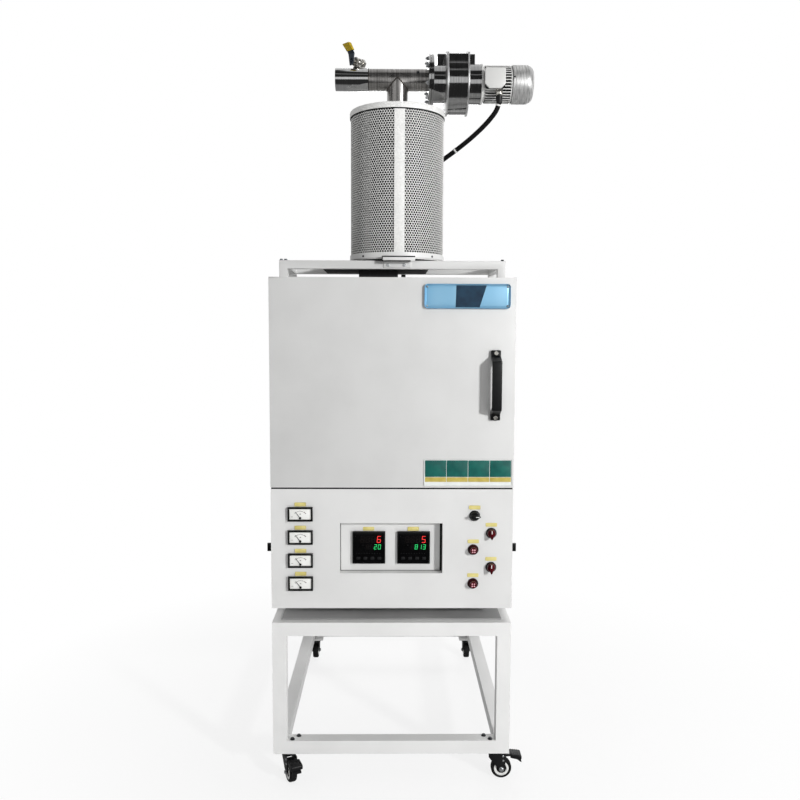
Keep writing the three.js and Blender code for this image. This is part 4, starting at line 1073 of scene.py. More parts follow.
def meter(number):
    """An analog meter: frame, dial, scale, red zone, needle and hub."""
    node = f"meter_case_{number}"
    _, (front, _), z = limits(node)
    pivot_x, pivot_z = (joint_place(f"pointer_{number}_swing")[i] for i in (0, 2))
    dressed(node, 0.9, black_abs, 3, name=f"meter_frame_{number}")
    centre = middle(z)
    dial_back = front + 3.4
    dial = plate((pivot_x - dial_half_width, pivot_x + dial_half_width),
                 (dial_back - 0.25, dial_back + 0.2),
                 (centre - dial_half_height, centre + dial_half_height), "y", 1, 0.1, 3)
    settle(dial, f"meter_dial_{number}", "furnace", white_dial, 30)
    lines = []
    face = (dial_back - 0.45, dial_back - 0.2)
    reach, spread = scale_radius, scale_spread

    def arc(radius, thick, first, last, steps=24):
        outline = []
        for side, order in ((radius, range(steps + 1)), (radius + thick, range(steps, -1, -1))):
            for i in order:
                angle = first + (last - first) * i / steps
                outline.append((pivot_x + math.sin(angle) * side, pivot_z + math.cos(angle) * side))
        return drawn_out("y", outline, face)

    lines.append(arc(reach, 0.5, -spread, spread))
    for i in range(scale_ticks + 1):
        angle = -spread + 2 * spread * i / scale_ticks
        tick = 3.0 if i % 5 == 0 else 1.7
        lines.append(arc(reach, tick, angle - 0.014, angle + 0.014, 1))
    lines.append(slab((pivot_x - 2.2, pivot_x + 2.2), face, (centre + 0.2, centre + 1.0)))
    lines.append(slab((pivot_x - 0.4, pivot_x + 0.4), face, (centre - 1.5, centre + 2.5)))
    lines.append(slab((pivot_x - 27, pivot_x - 21), face, (pivot_z + 3, pivot_z + 3.8)))
    settle(joined(*lines), f"meter_scale_{number}", "furnace", black_ink)
    settle(arc(reach + 0.9, 1.0, spread * 0.62, spread, 8), f"meter_red_zone_{number}", "furnace",
           red_abs)
    dressed(f"meter_pointer_{number}", 0, black_ink)
    cover = turned("y", (pivot_x, pivot_z), [(dial_back - 2.6, 3.4), (dial_back - 3.0, 2.2)], 20)
    settle(cover, f"meter_hub_cap_{number}", f"pointer_{number}", black_abs)
    tag(f"meter_tag_{number}", pivot_x, z[1] + 7.2, 0)


ring_bore = 10
knob_back = -4.9
stem_radius = 4.4
stem_end = 19.5
button_radius = 10.2
dot_offset = 3.1
tag_rise = 24.5
switches = ("power_knob", "selector_knob_upper", "selector_knob_lower", "push_button_upper",
            "push_button_lower")


def collar(name, x, z, material=dark_screw):
    """The ring nut behind a knob or button."""
    ring = turned("y", (x, z), [(-0.3, ring_bore), (-0.3, 15.6), (-1.2, 15.8), (-3.4, 14.6), (-4.5, 13.2),
                                (-4.5, ring_bore), (-0.3, ring_bore)], 40, True)
    settle(ring, f"{name}_ring", "furnace", material)


def turning_knob(node, material, upright):
    """A round knob with a bird-beak grip and a white index line."""
    front = limits(node)[1][0]
    centre_x, _, centre_z = joint_place(f"{node}_turn")
    back = knob_back
    disc_front = front + 8.7
    collar(node, centre_x, centre_z)
    base = turned("y", (centre_x, centre_z), [(back, 11.5), (back - 1, 12.6), (disc_front + 2.2, 12.2),
                                              (disc_front, 10.4)], 40)
    beak = [(-3.2, 12.5), (3.2, 12.5), (4.2, 6), (4.6, -6), (3.8, -11), (0.9, -16.2), (-0.9, -16.2),
            (-3.8, -11), (-4.6, -6), (-4.2, 6)]
    turn = 0 if upright else math.pi / 2
    outline = [(centre_x + a * math.cos(turn) + b * math.sin(turn),
                centre_z - a * math.sin(turn) + b * math.cos(turn))
               for a, b in beak]
    if not upright:
        outline = [(centre_x * 2 - a, b) for a, b in outline]
    grip = drawn_out("y", outline, (front, disc_front + 0.6), 1.2, 3)
    stem = turned("y", (centre_x, centre_z), [(back + 0.2, stem_radius), (stem_end, stem_radius)], 20)
    settle(joined(base, grip, stem), f"{node}_grip", node, material, 35, (node,))
    line = [(-0.9, 1.5), (0.9, 1.5), (0.9, 11), (-0.9, 11)]
    if not upright:
        line = [(2, -0.9), (12, -0.9), (12, 0.9), (2, 0.9)]
    index = drawn_out("y", [(centre_x + a, centre_z + b) for a, b in line], (front - 0.18, front + 0.2))
    settle(index, f"{node}_index", node, white_ink)


def push_button(node):
    """A dark red button with four pale dots in its face."""
    x, y, z = limits(node)
    centre_x, centre_z = middle(x), middle(z)
    front, back = y[0], y[0] + 9
    collar(node, centre_x, centre_z, red_bezel)
    cap = turned("y", (centre_x, centre_z), [(back, button_radius), (front + 1.8, button_radius),
                                             (front + 0.5, 9.5), (front + 0.1, 8.2),
                                             (front + 0.5, 6.8)], 40)
    stem = turned("y", (centre_x, centre_z), [(back - 0.5, stem_radius), (stem_end, stem_radius)], 20)
    settle(joined(cap, stem), f"{node}_cap", node, red_abs, 35, (node,))
    dot = turned("y", (0, 0), [(front + 0.7, 2.15), (front + 0.05, 2.0), (front, 1.1)], 16)
    moves = [(centre_x + a, 0, centre_z + b) for a in (-dot_offset, dot_offset)
             for b in (-dot_offset, dot_offset)]
    settle(repeated(dot, moves), f"{node}_dots", node, pink_lens)


window_x = (-151, 147)
window_z = (642, 790)
window_depth = 28


def control_panel():
    """The panel, the window's painted shade trim and every instrument and switch."""
    dressed("control_panel", 1.1, paint_panel, 3)
    dressed("switch_rail", 0, black_abs)
    left, right = window_x
    low, high = window_z
    trim = (window_depth - 1.0, window_depth + 0.2)
    # Black strips round the window's recess: painted shade, wide along the right wall and thin on the other
    # sides.
    gasket = [slab((right - 6.5, right), trim, (low, high)), slab((left, left + 1.6), trim, (low, high)),
              slab((left, right), trim, (low, low + 1.0)), slab((left, right), trim, (high - 1.6, high))]
    settle(joined(*gasket), "window_shade_trim", "furnace", rubber_and_painted_shade)
    controller("left", "6", "20")
    controller("right", "5", "813")
    for number in (1, 2, 3, 4):
        meter(number)
    turning_knob("power_knob", black_abs, False)
    turning_knob("selector_knob_upper", red_abs, True)
    turning_knob("selector_knob_lower", red_abs, True)
    push_button("push_button_upper")
    push_button("push_button_lower")
    for node in switches:
        x, _, z = limits(node)
        tag(f"{node}_tag", middle(x), middle(z) + tag_rise, 0)
    for side in ("left", "right"):
        x, _, z = limits(f"controller_{side}")
        tag(f"controller_tag_{side}", middle(x) - 0.8, z[1] + 6.6, window_depth)
        dressed(f"side_latch_{side}", 1.6, black_abs, 3)


control_panel()


# Top frame with its bolts and bracket
top_tube = 25
frame_setback = 26
frame_bolt_back = 215
bracket_x = (-31, 68)
bracket_screw_x = (-14, 35)


def top_frame():
    """The roof frame with its bolts and the bracket on its front rail."""
    dressed("top_frame", 1.4, paint_frame, 3)
    (x0, x1), (y0, _), (_, z1) = limits("top_frame")
    front = y0 + frame_setback
    across = top_tube / 2
    moves = [(x0 + 6, front + across, z1), (x0 + 19, front + across, z1), (x1 - 9, front + across, z1),
             (x0 + across, front + frame_bolt_back, z1), (x1 - across, front + frame_bolt_back, z1)]
    settle(repeated(hex_bolt("z", (0, 0, 0), 5.2, 5), moves), "top_frame_bolts", "furnace",
           dark_screw)
    screws = [hex_bolt("y", (x, front - 3, z1 - 13.5), 4.0, 3.2, -1) for x in bracket_screw_x]
    settle(joined(*screws), "bracket_screws", "furnace", zinc_screw)
    left, right = bracket_x
    lip = slab(bracket_x, (y0 - 1.2, y0 + 0.6), (z1 - 3, z1 + 9), 0.4)
    settle(lip, "bracket_lip", "furnace", paint_stand)
    # Black strips along the lip's top, bottom and left edge: painted shade lines round the bracket.
    shade_lines = [slab(bracket_x, (y0 - 1.8, y0 + 0.9), (z1 + 8.4, z1 + 12), 0.5),
             slab((left, right - 14), (y0 - 1.8, y0 + 2), (z1 - 4.8, z1 - 1.2), 0.5),
             slab((left - 1.6, left + 1.6), (y0 - 1.8, y0 + 0.9), (z1 - 4.8, z1 + 12), 0.5)]
    settle(joined(*shade_lines), "bracket_shade_lines", "furnace", rubber_and_painted_shade)


top_frame()

# Afterburner tower: base ring, perforated guard, cap and core
guard_x, guard_y, guard_z = limits("guard_shell")
tower = (middle(guard_x), middle(guard_y))
guard_radius = (guard_x[1] - guard_x[0]) / 2
hole_pitch = 8.0
row_pitch = hole_pitch * math.sqrt(3) / 2
hole_radius = 3.45
guard_wall = 0.7
strip_half_angle = math.radians(5.7)
seam_angle = -math.pi / 2 + math.radians(2.3)
sheet_foot = 12
sheet_head = 8
hoop_overlap = 4
back_strip_half_angle = 0.05
flue_gap = 30
tray_foot = 7
tray_bore = 60
cap_hole = 33.6
tray_screw_x = (-90, 121)


def perforated_sheet(name, first, last, low, high):
    """A rolled sheet with staggered round holes, between two angles round the tower and two heights."""
    columns = round((last - first) * guard_radius / hole_pitch)
    pitch = (last - first) * guard_radius / columns
    rows = 2 * round((high - low) / row_pitch / 2)
    rise = (high - low) / rows
    start()
    bpy.ops.mesh.primitive_circle_add(vertices=6, radius=1, fill_type="NOTHING")
    cell = bpy.context.object
    edit()
    bpy.ops.mesh.primitive_circle_add(vertices=8, radius=hole_radius, fill_type="NOTHING")
    bpy.ops.mesh.select_all(action="DESELECT")
    leave()
    corners = [(0, 2 / 3), (-0.5, 1 / 3), (-0.5, -1 / 3), (0, -2 / 3), (0.5, -1 / 3), (0.5, 1 / 3)]
    for vertex, (a, b) in zip(cell.data.vertices[:6], corners):
        vertex.co = (a * pitch, b * rise, 0)
    edit("EDGE")
    bpy.ops.mesh.select_all(action="SELECT")
    bpy.ops.mesh.bridge_edge_loops()
    leave()
    neighbour = copied(cell, (pitch / 2, rise, 0))
    cell = joined(cell, neighbour)
    for count, offset in ((columns, (pitch, 0, 0)), (rows // 2, (0, 2 * rise, 0))):
        only(cell)
        array = cell.modifiers.new("row", "ARRAY")
        array.count = count
        array.use_relative_offset = False
        array.use_constant_offset = True
        array.constant_offset_displace = offset
        array.use_merge_vertices = False
        bpy.ops.object.modifier_apply(modifier=array.name)
    edit()
    bpy.ops.mesh.select_all(action="SELECT")
    bpy.ops.mesh.remove_doubles(threshold=0.02)
    bpy.ops.mesh.normals_make_consistent(inside=False)
    leave()
    skin = cell.modifiers.new("wall", "SOLIDIFY")
    skin.thickness = guard_wall
    skin.offset = 0
    only(cell)
    bpy.ops.object.modifier_apply(modifier=skin.name)
    count = len(cell.data.vertices)
    flat = np.zeros(count * 3)
    cell.data.vertices.foreach_get("co", flat)
    flat = flat.reshape(-1, 3)
    angle = first + np.clip(flat[:, 0], -pitch / 4, columns * pitch + pitch / 4) / guard_radius
    radius = guard_radius - guard_wall / 2 - 0.2 + flat[:, 2]
    bent = np.stack([tower[0] + radius * np.cos(angle), tower[1] + radius * np.sin(angle),
                     low + flat[:, 1] + rise / 2], 1)
    cell.data.vertices.foreach_set("co", bent.ravel())
    cell.data.update()
    edit()
    bpy.ops.mesh.select_all(action="SELECT")
    bpy.ops.mesh.normals_make_consistent(inside=False)
    leave()
    return settle(cell, name, "furnace", guard_sheet, 30)


def band_round(first, last, low, high, inner, outer, steps=24):
    """A strip of sheet rolled between two angles round the tower."""
    outline = []
    for radius, order in ((outer, range(steps + 1)), (inner, range(steps, -1, -1))):
        for i in order:
            angle = first + (last - first) * i / steps
            outline.append((tower[0] + radius * math.cos(angle), tower[1] + radius * math.sin(angle)))
    return drawn_out("z", outline, (low, high), 0.3, 1)


def guard():
    """The perforated guard: two sheets, seam strips, hoops and a near-black liner, painted shade seen
    through the holes.
    """
    low, high = guard_z[0] + sheet_foot, guard_z[1] - sheet_head
    front = seam_angle
    for name, first in (("guard_sheet_right", front + strip_half_angle),
                        ("guard_sheet_left", front + math.pi)):
        last = first + math.pi - strip_half_angle
        perforated_sheet(name, first, last, low, high)
    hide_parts("guard_shell")
    radius = guard_radius
    strip = band_round(front - strip_half_angle - 0.01, front + strip_half_angle + 0.01, guard_z[0],
                       guard_z[1], radius - 1.6, radius - 0.1, 10)
    settle(strip, "guard_seam_strip", "furnace", guard_sheet)
    back = front + math.pi
    strip = band_round(back - back_strip_half_angle, back + back_strip_half_angle, guard_z[0], guard_z[1],
                       radius - 2.4, radius - 0.9, 8)
    settle(strip, "guard_back_strip", "furnace", guard_sheet)
    hoops = []
    for z in ((guard_z[0], low + hoop_overlap), (high - hoop_overlap, guard_z[1])):
        hoops.append(pipe_piece("z", tower, z, radius - 2.3, radius - 0.9))
    settle(joined(*hoops), "guard_hoops", "furnace", guard_sheet)
    # A near-black sleeve just inside the sheets: painted shade seen through the holes.
    liner = pipe_piece("z", tower, (low, high), radius - 4.2, radius - 3.2)
    settle(liner, "guard_shade_liner", "furnace", liner_painted_shade)


def guard_ends():
    """The guard's painted shade pad, tray and cap, and the afterburner's core."""
    x, _, z = limits("guard_base")
    outer = (x[1] - x[0]) / 2
    foot = z[0] + tray_foot
    # A dark disc under the tray: painted shade on the tray's underside.
    pad = pipe_piece("z", tower, (z[0], foot + 0.5), flue_gap, outer - 4.5)
    settle(pad, "guard_base_shade_pad", "furnace", board_and_painted_shade)
    tray = turned("z", tower, [(foot, tray_bore), (foot, outer - 0.8), (foot + 0.8, outer),
                               (z[1] - 0.8, outer), (z[1], outer - 0.8), (z[1], outer - 2.2),
                               (foot + 3, outer - 2.6), (foot + 3, tray_bore),
                               (foot, tray_bore)], 96, True)
    settle(tray, "guard_base_tray", "furnace", paint_stand, 30, ("guard_base",))
    height = middle(z) + 2
    screws = []
    for across in tray_screw_x:
        angle = math.asin((across - tower[0]) / outer)
        head = pan_screw("y", (0, 0, 0), 3.4, 2.0, -1)
        head.data.transform(Matrix.Translation((tower[0] + outer * math.sin(angle),
                                                tower[1] - outer * math.cos(angle),
                                                height)) @ Matrix.Rotation(angle, 4, "Z"))
        screws.append(head)
    settle(joined(*screws), "guard_screws", "furnace", dark_screw)
    x, _, z = limits("guard_cap")
    outer = (x[1] - x[0]) / 2
    hole = cap_hole
    cap = turned("z", tower, [(z[0], outer - 2.4), (z[0], outer - 0.4), (z[0] + 1.2, outer),
                              (z[1] - 3.5, outer), (z[1] - 1, outer - 1.2), (z[1], outer - 4),
                              (z[1], hole), (z[1] - 2.4, hole), (z[1] - 2.6, outer - 5),
                              (z[1] - 5, outer - 2.4), (z[0], outer - 2.4)], 96, True)
    settle(cap, "guard_cap_rolled", "furnace", guard_sheet, 35, ("guard_cap",))
    # A black ring under the cap's lip: painted shadow in the gap between cap and guard.
    shadow_gap = turned("z", tower, [(z[0] - 3.2, outer - 3.4), (z[0] - 3.2, outer - 1.4),
                                     (z[0] - 2.6, outer - 0.9), (z[0] + 0.2, outer - 0.9),
                                     (z[0] + 0.2, outer - 3.4), (z[0] - 3.2, outer - 3.4)], 96, True)
    settle(shadow_gap, "guard_cap_shadow_ring", "furnace", rubber_and_painted_shade)
    collar_ring = turned("z", tower, [(z[1], 33.8), (z[1], 44), (z[1] + 1.4, 43), (z[1] + 2.2, 34.6),
                                      (z[1], 33.8)], 64, True)
    settle(collar_ring, "guard_cap_collar", "furnace", satin_steel)
    dressed("afterburner_core", 1.5, scaled_steel, smooth=50)


guard()
guard_ends()

# Tail pipe with its mitred tee, polished sleeve and flange
pipe_x, pipe_y, pipe_z = limits("tee_pipe")
flange_radius = (pipe_y[1] - pipe_y[0]) / 2
pipe_axis = pipe_z[1] - flange_radius
pipe_line = (tower[1], pipe_axis)
pipe_radius = 32.5
pipe_bore = 30.0
sleeve_radius = 34.1
sleeve_length = 103
sleeve_end = pipe_x[0] + sleeve_length
flange_thick = 8
flange_x = pipe_x[1] - flange_thick
flange_bolts = 8
weld_radius = 2.3
seam_steps = 64
port_x = 77


def weld_bead(points, radius, name):
    """A ripple-faced weld bead along a seam."""
    bead = strand(points, radius, 6, closed=True, smooth=False)
    for vertex in bead.data.vertices:
        wave = 0.25 * math.sin(vertex.co.x * 1.9) * math.cos(vertex.co.z * 2.3)
        vertex.co += vertex.normal * wave
    return settle(bead, name, "furnace", weld_steel, 60)


def tee_pipe():
    """The tee with its polished tail sleeve, welds, port plug and flange."""
    run = turned("x", pipe_line, [(pipe_x[0] + 1, pipe_radius), (flange_x + 1, pipe_radius)], 96)
    riser = turned("z", tower, [(pipe_z[0], pipe_radius), (pipe_axis, pipe_radius)], 96)
    merged(run, riser)
    cut(run, turned("x", pipe_line, [(pipe_x[0] - 5, pipe_bore), (flange_x + 20, pipe_bore)], 96),
        turned("z", tower, [(pipe_z[0] - 5, pipe_bore), (pipe_axis, pipe_bore)], 96))
    settle(run, "tee_pipe_body", "furnace", satin_pipe, 35, ("tee_pipe",))
    sleeve = turned("x", pipe_line, [
        (pipe_x[0], pipe_bore), (pipe_x[0], sleeve_radius - 0.6), (pipe_x[0] + 0.8, sleeve_radius),
        (sleeve_end - 3.4, sleeve_radius), (sleeve_end - 3.0, sleeve_radius),
        (sleeve_end - 0.6, sleeve_radius), (sleeve_end, sleeve_radius - 0.7),
        (sleeve_end, pipe_radius - 0.4), (pipe_x[0] + 2, pipe_radius - 0.4), (pipe_x[0] + 2, pipe_bore),
        (pipe_x[0], pipe_bore)], 96, True)
    settle(sleeve, "tail_sleeve", "furnace", mirror_steel, 40)
    seam = []
    for i in range(seam_steps):
        angle = math.tau * i / seam_steps
        across = pipe_radius * math.sin(angle)
        seam.append((tower[0] + across * 1.01, tower[1] - pipe_radius * math.cos(angle) * 1.01,
                     pipe_axis - abs(across) * 1.01))
    weld_bead(seam, weld_radius, "tee_weld")
    ring = []
    for i in range(seam_steps):
        angle = math.tau * i / seam_steps
        ring.append((sleeve_end + 1.2, tower[1] + (pipe_radius + 0.4) * math.cos(angle),
                     pipe_axis + (pipe_radius + 0.4) * math.sin(angle)))
    weld_bead(ring, 1.2, "sleeve_weld")
    port = turned("y", (port_x, pipe_axis + 15), [(tower[1] - 28, 4.2), (tower[1] - 30.4, 4.2),
                                                  (tower[1] - 31, 3.4)], 20)
    settle(port, "pipe_port_plug", "furnace", dark_screw)
    flange = turned("x", pipe_line, [
        (flange_x, pipe_radius - 1), (flange_x, flange_radius - 0.8), (flange_x + 0.8, flange_radius),
        (pipe_x[1] - 0.8, flange_radius), (pipe_x[1], flange_radius - 0.8), (pipe_x[1], pipe_bore),
        (flange_x + 2, pipe_bore), (flange_x, pipe_radius - 1)], 96, True)
    settle(flange, "tail_flange", "furnace", scroll_steel)
    bolt_circle = flange_radius - 12
    head = hex_bolt("x", (flange_x, tower[1], pipe_axis + bolt_circle), 5.6, 5.5, -1)
    tip = turned("x", (tower[1], pipe_axis + bolt_circle), [(flange_x - 5, 3.2), (flange_x - 8, 3.2),
                                                            (flange_x - 8.8, 2.4)], 16)
    bolts = ringed(joined(head, tip), flange_bolts, "X", (0, tower[1], pipe_axis), math.pi / flange_bolts)
    settle(bolts, "flange_bolts", "furnace", zinc_screw)


nipple_along = 66
valve_length = 40
lever_thick = 4.4
lever_lean = 14
lever_half_width = 12.5


def tail_valve():
    """Ball valve on a nipple, built along X and then turned to the direction of its stem."""
    foot = limits("valve_body")[2][0]
    top = limits("valve_lever")[2][1]
    axis = joint_place("valve_turn").z
    nipple_x = pipe_x[0] + nipple_along
    stem = joints["valve_turn"]["axis"]
    about = Matrix.Translation((nipple_x, tower[1], 0))
    turn = about @ Matrix.Rotation(math.atan2(stem[1], stem[0]), 4, "Z") @ about.inverted()
    line = (tower[1], axis)
    body = (nipple_x - 10, nipple_x - 10 + valve_length)
    bonnet_end = body[0] - 9
    nipple = turned("z", (nipple_x, tower[1]), [
        (foot, 12.5), (foot + 2, 12.3), (foot + 3.4, 8.2), (foot + 5.4, 8.2), (foot + 6, 9.6),
        (axis - 8, 9.6)], 32)
    ends = turned("x", line, [(body[0], 11.5), (body[0], 13.4), (body[0] + 1, 14), (body[0] + 8, 14),
                              (body[0] + 9, 11)], 6)
    ball = turned("x", line, [(body[0] + 8, 9), (body[0] + 11, 11.6), (body[0] + 16, 12.9),
                              (body[0] + 21, 12.9), (body[0] + 26, 11.6), (body[0] + 29, 9)], 40)
    socket = turned("x", line, [(body[1] - 12, 11), (body[1] - 11, 13.6), (body[1] - 1, 13.6),
                                (body[1], 12.8), (body[1], 7.4), (body[1] - 8, 7.2)], 6)
    bonnet = turned("x", line, [(body[0] + 1, 8), (bonnet_end, 8), (bonnet_end, 4.7),
                                (bonnet_end + 3, 4.6)], 32)
    whole = joined(nipple, ends, ball, socket, bonnet)
    whole.data.transform(turn)
    settle(whole, "valve_body_turned", "furnace", nickel, 35, ("valve_body",))
    face = bonnet_end - 0.3
    low, knee = axis - 14, axis + 20
    thick, lean, half = lever_thick, lever_lean, lever_half_width
    strip = drawn_out("y", [(face, low), (face, knee), (face - lean * 0.55, knee + 13),
                            (face - lean * 0.55 - thick, knee + 13), (face - thick, knee),
                            (face - thick, low)],
                      (tower[1] - half, tower[1] + half))
    for vertex in strip.data.vertices:
        share = min(1, 0.55 + 0.45 * (vertex.co.z - low) / (knee - low))
        vertex.co.y = tower[1] + (vertex.co.y - tower[1]) * share
    bevel(strip, 0.8)
    nut = hex_bolt("x", (face - thick, tower[1], axis), 6.2, 3.3, -1)
    pin = turned("x", line, [(face - 2, 3.9), (body[0] - 0.5, 3.9)], 20)
    lever = joined(strip, nut, pin)
    lever.data.transform(turn)
    settle(lever, "valve_lever_strip", "valve_lever", lever_steel, 35, ("valve_lever",))
    grip = drawn_out("y", [(face - 2, knee + 8), (face - lean - 2, top), (face - lean - 13, top),
                           (face - lean - 14, top - 2.5), (face - thick - 6, knee + 8)],
                     (tower[1] - half - 1.5, tower[1] + half + 1.5), 2.2, 4)
    grip.data.transform(turn)
    settle(grip, "valve_lever_sleeve", "valve_lever", yellow_sleeve, 45)


tee_pipe()
tail_valve()

# Blower: inlet, scroll between two plates, outlet box, rear housing, motor and fan cover
blower_x, blower_y, _ = limits("blower_housing")
motor_x, motor_y, _ = limits("motor_body")
cover_x, _, cover_z = limits("fan_cover")
blower_axis = middle(cover_z)
blower_line = (tower[1], blower_axis)
inlet_radius = 56
rotor_hole = 88
rivet_count = 12
scroll_start = 47
scroll_width = 68
scroll_x = (blower_x[0] + scroll_start, blower_x[0] + scroll_start + scroll_width)
scroll_radius = 95
drum_rim = 4
hood_reach = 86
hood_height = 71
plate_thick = 5
rear_radius = 60
outlet_rise = 97
outlet_top = blower_axis + outlet_rise
outlet_height = 86
outlet_width = 118
outlet_box = 100
outlet_end = blower_y[1]
outlet_wall = 4
motor_radius = 50
fin_count = 38
terminal_box_start = 7
terminal_box_length = 64


def scroll_section(x, rim):
    """The scroll's round section with the square hood over its upper front, smaller by the rim."""
    made = turned("x", blower_line, [(x[0], scroll_radius - rim), (x[1], scroll_radius - rim)], 112)
    hood = slab(x, (tower[1] - hood_reach + rim, tower[1] - 10),
                (blower_axis + 0.5, blower_axis + hood_height - rim))
    return merged(made, hood)


def blower():
    """The inlet, the scroll between its plates, the outlet box and the rotor."""
    flange = turned("x", pipe_line, [(blower_x[0], pipe_bore), (blower_x[0], flange_radius - 0.8),
                                     (blower_x[0] + 0.8, flange_radius), (blower_x[0] + 7.2, flange_radius),
                                     (blower_x[0] + 8, flange_radius - 0.8), (blower_x[0] + 8, pipe_bore),
                                     (blower_x[0], pipe_bore)], 96, True)
    inlet = turned("x", blower_line, [(blower_x[0] + 7, inlet_radius - 1),
                                      (blower_x[0] + 8.2, inlet_radius), (scroll_x[0] + 1, inlet_radius),
                                      (scroll_x[0] + 1, inlet_radius - 3),
                                      (blower_x[0] + 7, inlet_radius - 3),
                                      (blower_x[0] + 7, inlet_radius - 1)], 96, True)
    settle(joined(flange, inlet), "blower_inlet", "furnace", scroll_steel, 35,
           ("blower_housing",))
    plates = [bevel(scroll_section((x, x + plate_thick), 0), 1.0)
              for x in (scroll_x[0], scroll_x[1] - plate_thick)]
    for side in plates:
        cut(side, turned("x", blower_line, [(scroll_x[0] - 5, inlet_radius - 3),
                                            (scroll_x[1] + 5, inlet_radius - 3)], 64))
    settle(joined(*plates), "scroll_plates", "furnace", plate_steel_painted_highlight)
    inner = (scroll_x[0] + plate_thick - 0.5, scroll_x[1] - plate_thick + 0.5)
    drum = scroll_section(inner, drum_rim)
    cut(drum, turned("x", blower_line, [(inner[0] - 1, rotor_hole), (inner[1] + 1, rotor_hole)], 96),
        slab((inner[0] - 1, inner[1] + 1), (tower[1] + 10, outlet_end),
             (outlet_top - outlet_height + outlet_wall, outlet_top - outlet_wall)))
    settle(drum, "scroll_drum", "furnace", scroll_steel, 35)
    centre = middle(scroll_x)
    box = slab((centre - outlet_width / 2, centre + outlet_width / 2),
               (outlet_end - outlet_box, outlet_end), (outlet_top - outlet_height, outlet_top))
    cut(box, slab((scroll_x[0] + 5, scroll_x[1] - 5), (outlet_end - outlet_box - 5, outlet_end + 10),
                  (outlet_top - outlet_height + outlet_wall, outlet_top - outlet_wall)))
    settle(bevel(box, 0.8), "outlet_box", "furnace", scroll_steel)
    rear = turned("x", blower_line, [
        (scroll_x[1] - 1, rear_radius - 4), (scroll_x[1] - 1, rear_radius + 1),
        (scroll_x[1] + 2, rear_radius + 1), (scroll_x[1] + 3, rear_radius - 0.4),
        (blower_x[1] - 3, rear_radius - 0.4), (blower_x[1] - 2, rear_radius), (blower_x[1], rear_radius),
        (blower_x[1], rear_radius - 4), (scroll_x[1] - 1, rear_radius - 4)], 96, True)
    settle(rear, "blower_rear_housing", "furnace", scroll_steel, 35)
    rivet = turned("x", (tower[1], blower_axis + scroll_radius - 9),
                   [(scroll_x[0], 2.6), (scroll_x[0] - 1, 2.4), (scroll_x[0] - 1.8, 1.4)], 16)
    rivets = ringed(rivet, rivet_count, "X", (0, tower[1], blower_axis), math.pi / rivet_count)
    settle(rivets, "scroll_rivets", "furnace", zinc_screw)
    dressed("fan_rotor", 0.6, silver_cast, smooth=40)


def motor():
    """The finned motor with its terminal box and cable gland."""
    start_x, end_x = motor_x
    radius = motor_radius
    body = turned("x", blower_line, [
        (start_x, 30), (start_x, 59.4), (start_x + 0.6, 60), (start_x + 5.4, 60), (start_x + 6, 59.4),
        (start_x + 7, radius + 3), (start_x + 13, radius + 0.5), (start_x + 14, radius - 8),
        (end_x - 6, radius - 8), (end_x - 5, radius + 4), (end_x - 1, radius + 4), (end_x, radius + 3),
        (end_x, 30), (start_x, 30)], 96, True)
    edge = slab((start_x + 13, end_x - 5.5), (tower[1] + radius + 4.6, tower[1] + radius + 6),
                (blower_axis - 1.7, blower_axis + 1.7), 0.5, 1)
    edges = ringed(edge, fin_count, "X", (0, tower[1], blower_axis))
    settle(joined(body, edges), "motor_case", "furnace", paint_motor, 35, ("motor_body",))
    # The fin bodies and the barrel under them are near-black: painted shade between the fins; only the fin
    # tips keep the motor's grey.
    fin = slab((start_x + 13.2, end_x - 5.7), (tower[1] + radius - 7.5, tower[1] + radius + 4.8),
               (blower_axis - 1.5, blower_axis + 1.5))
    fins = ringed(fin, fin_count, "X", (0, tower[1], blower_axis))
    settle(fins, "motor_fins", "furnace", barrel_painted_shade)
    barrel = pipe_piece("x", blower_line, (start_x + 14.5, end_x - 6.5), radius - 10, radius - 6)
    settle(barrel, "motor_barrel", "furnace", barrel_painted_shade)
    box_x = (start_x + terminal_box_start, start_x + terminal_box_start + terminal_box_length)
    box_z = (blower_axis - 32, blower_axis + 30)
    front = motor_y[0]
    base = plate((box_x[0] + 3, box_x[1] - 3), (front + 9, tower[1] - 20), (box_z[0] + 2, box_z[1] - 3),
                 "y", 8, 0.6, 5)
    settle(base, "terminal_box_base", "furnace", paint_motor)
    lid = drawn_out("y", [(box_x[0] + 4, box_z[1]), (box_x[0], box_z[1] - 4), (box_x[0], box_z[0] + 13),
                          (box_x[0] + 13, box_z[0]), (box_x[1] - 13, box_z[0]), (box_x[1], box_z[0] + 13),
                          (box_x[1], box_z[1] - 4), (box_x[1] - 4, box_z[1])], (front, front + 8), 2.4, 4)
    settle(lid, "terminal_box_lid", "furnace", paint_motor, 50)
    gasket = plate((box_x[0] + 1.5, box_x[1] - 1.5), (front + 7.6, front + 9.6),
                   (box_z[0] + 1.5, box_z[1] - 1.5), "y", 9, 0, 5)
    settle(gasket, "terminal_box_gasket", "furnace", rubber_and_painted_shade)
    screw = pan_screw("y", (0, front + 1.5, 0), 3.0, 1.5, -1)
    moves = [(box_x[0] + 6.5, 0, box_z[1] - 6.5), (box_x[1] - 6.5, 0, box_z[1] - 6.5),
             (box_x[0] + 12, 0, box_z[0] + 11), (box_x[1] - 12, 0, box_z[0] + 11)]
    settle(repeated(screw, moves), "terminal_box_screws", "furnace", dark_screw)
    gland = cable_route[0]
    nut = turned("z", gland[:2], [(box_z[0] + 2.5, 12.2), (box_z[0] - 8, 12.2), (box_z[0] - 9, 11.2)], 6)
    dome = turned("z", gland[:2], [(box_z[0] - 9, 10.6), (box_z[0] - 15, 10.4), (gland[2] + 0.4, 9.0)], 32)
    settle(joined(nut, dome), "motor_gland_nut", "furnace", nickel)


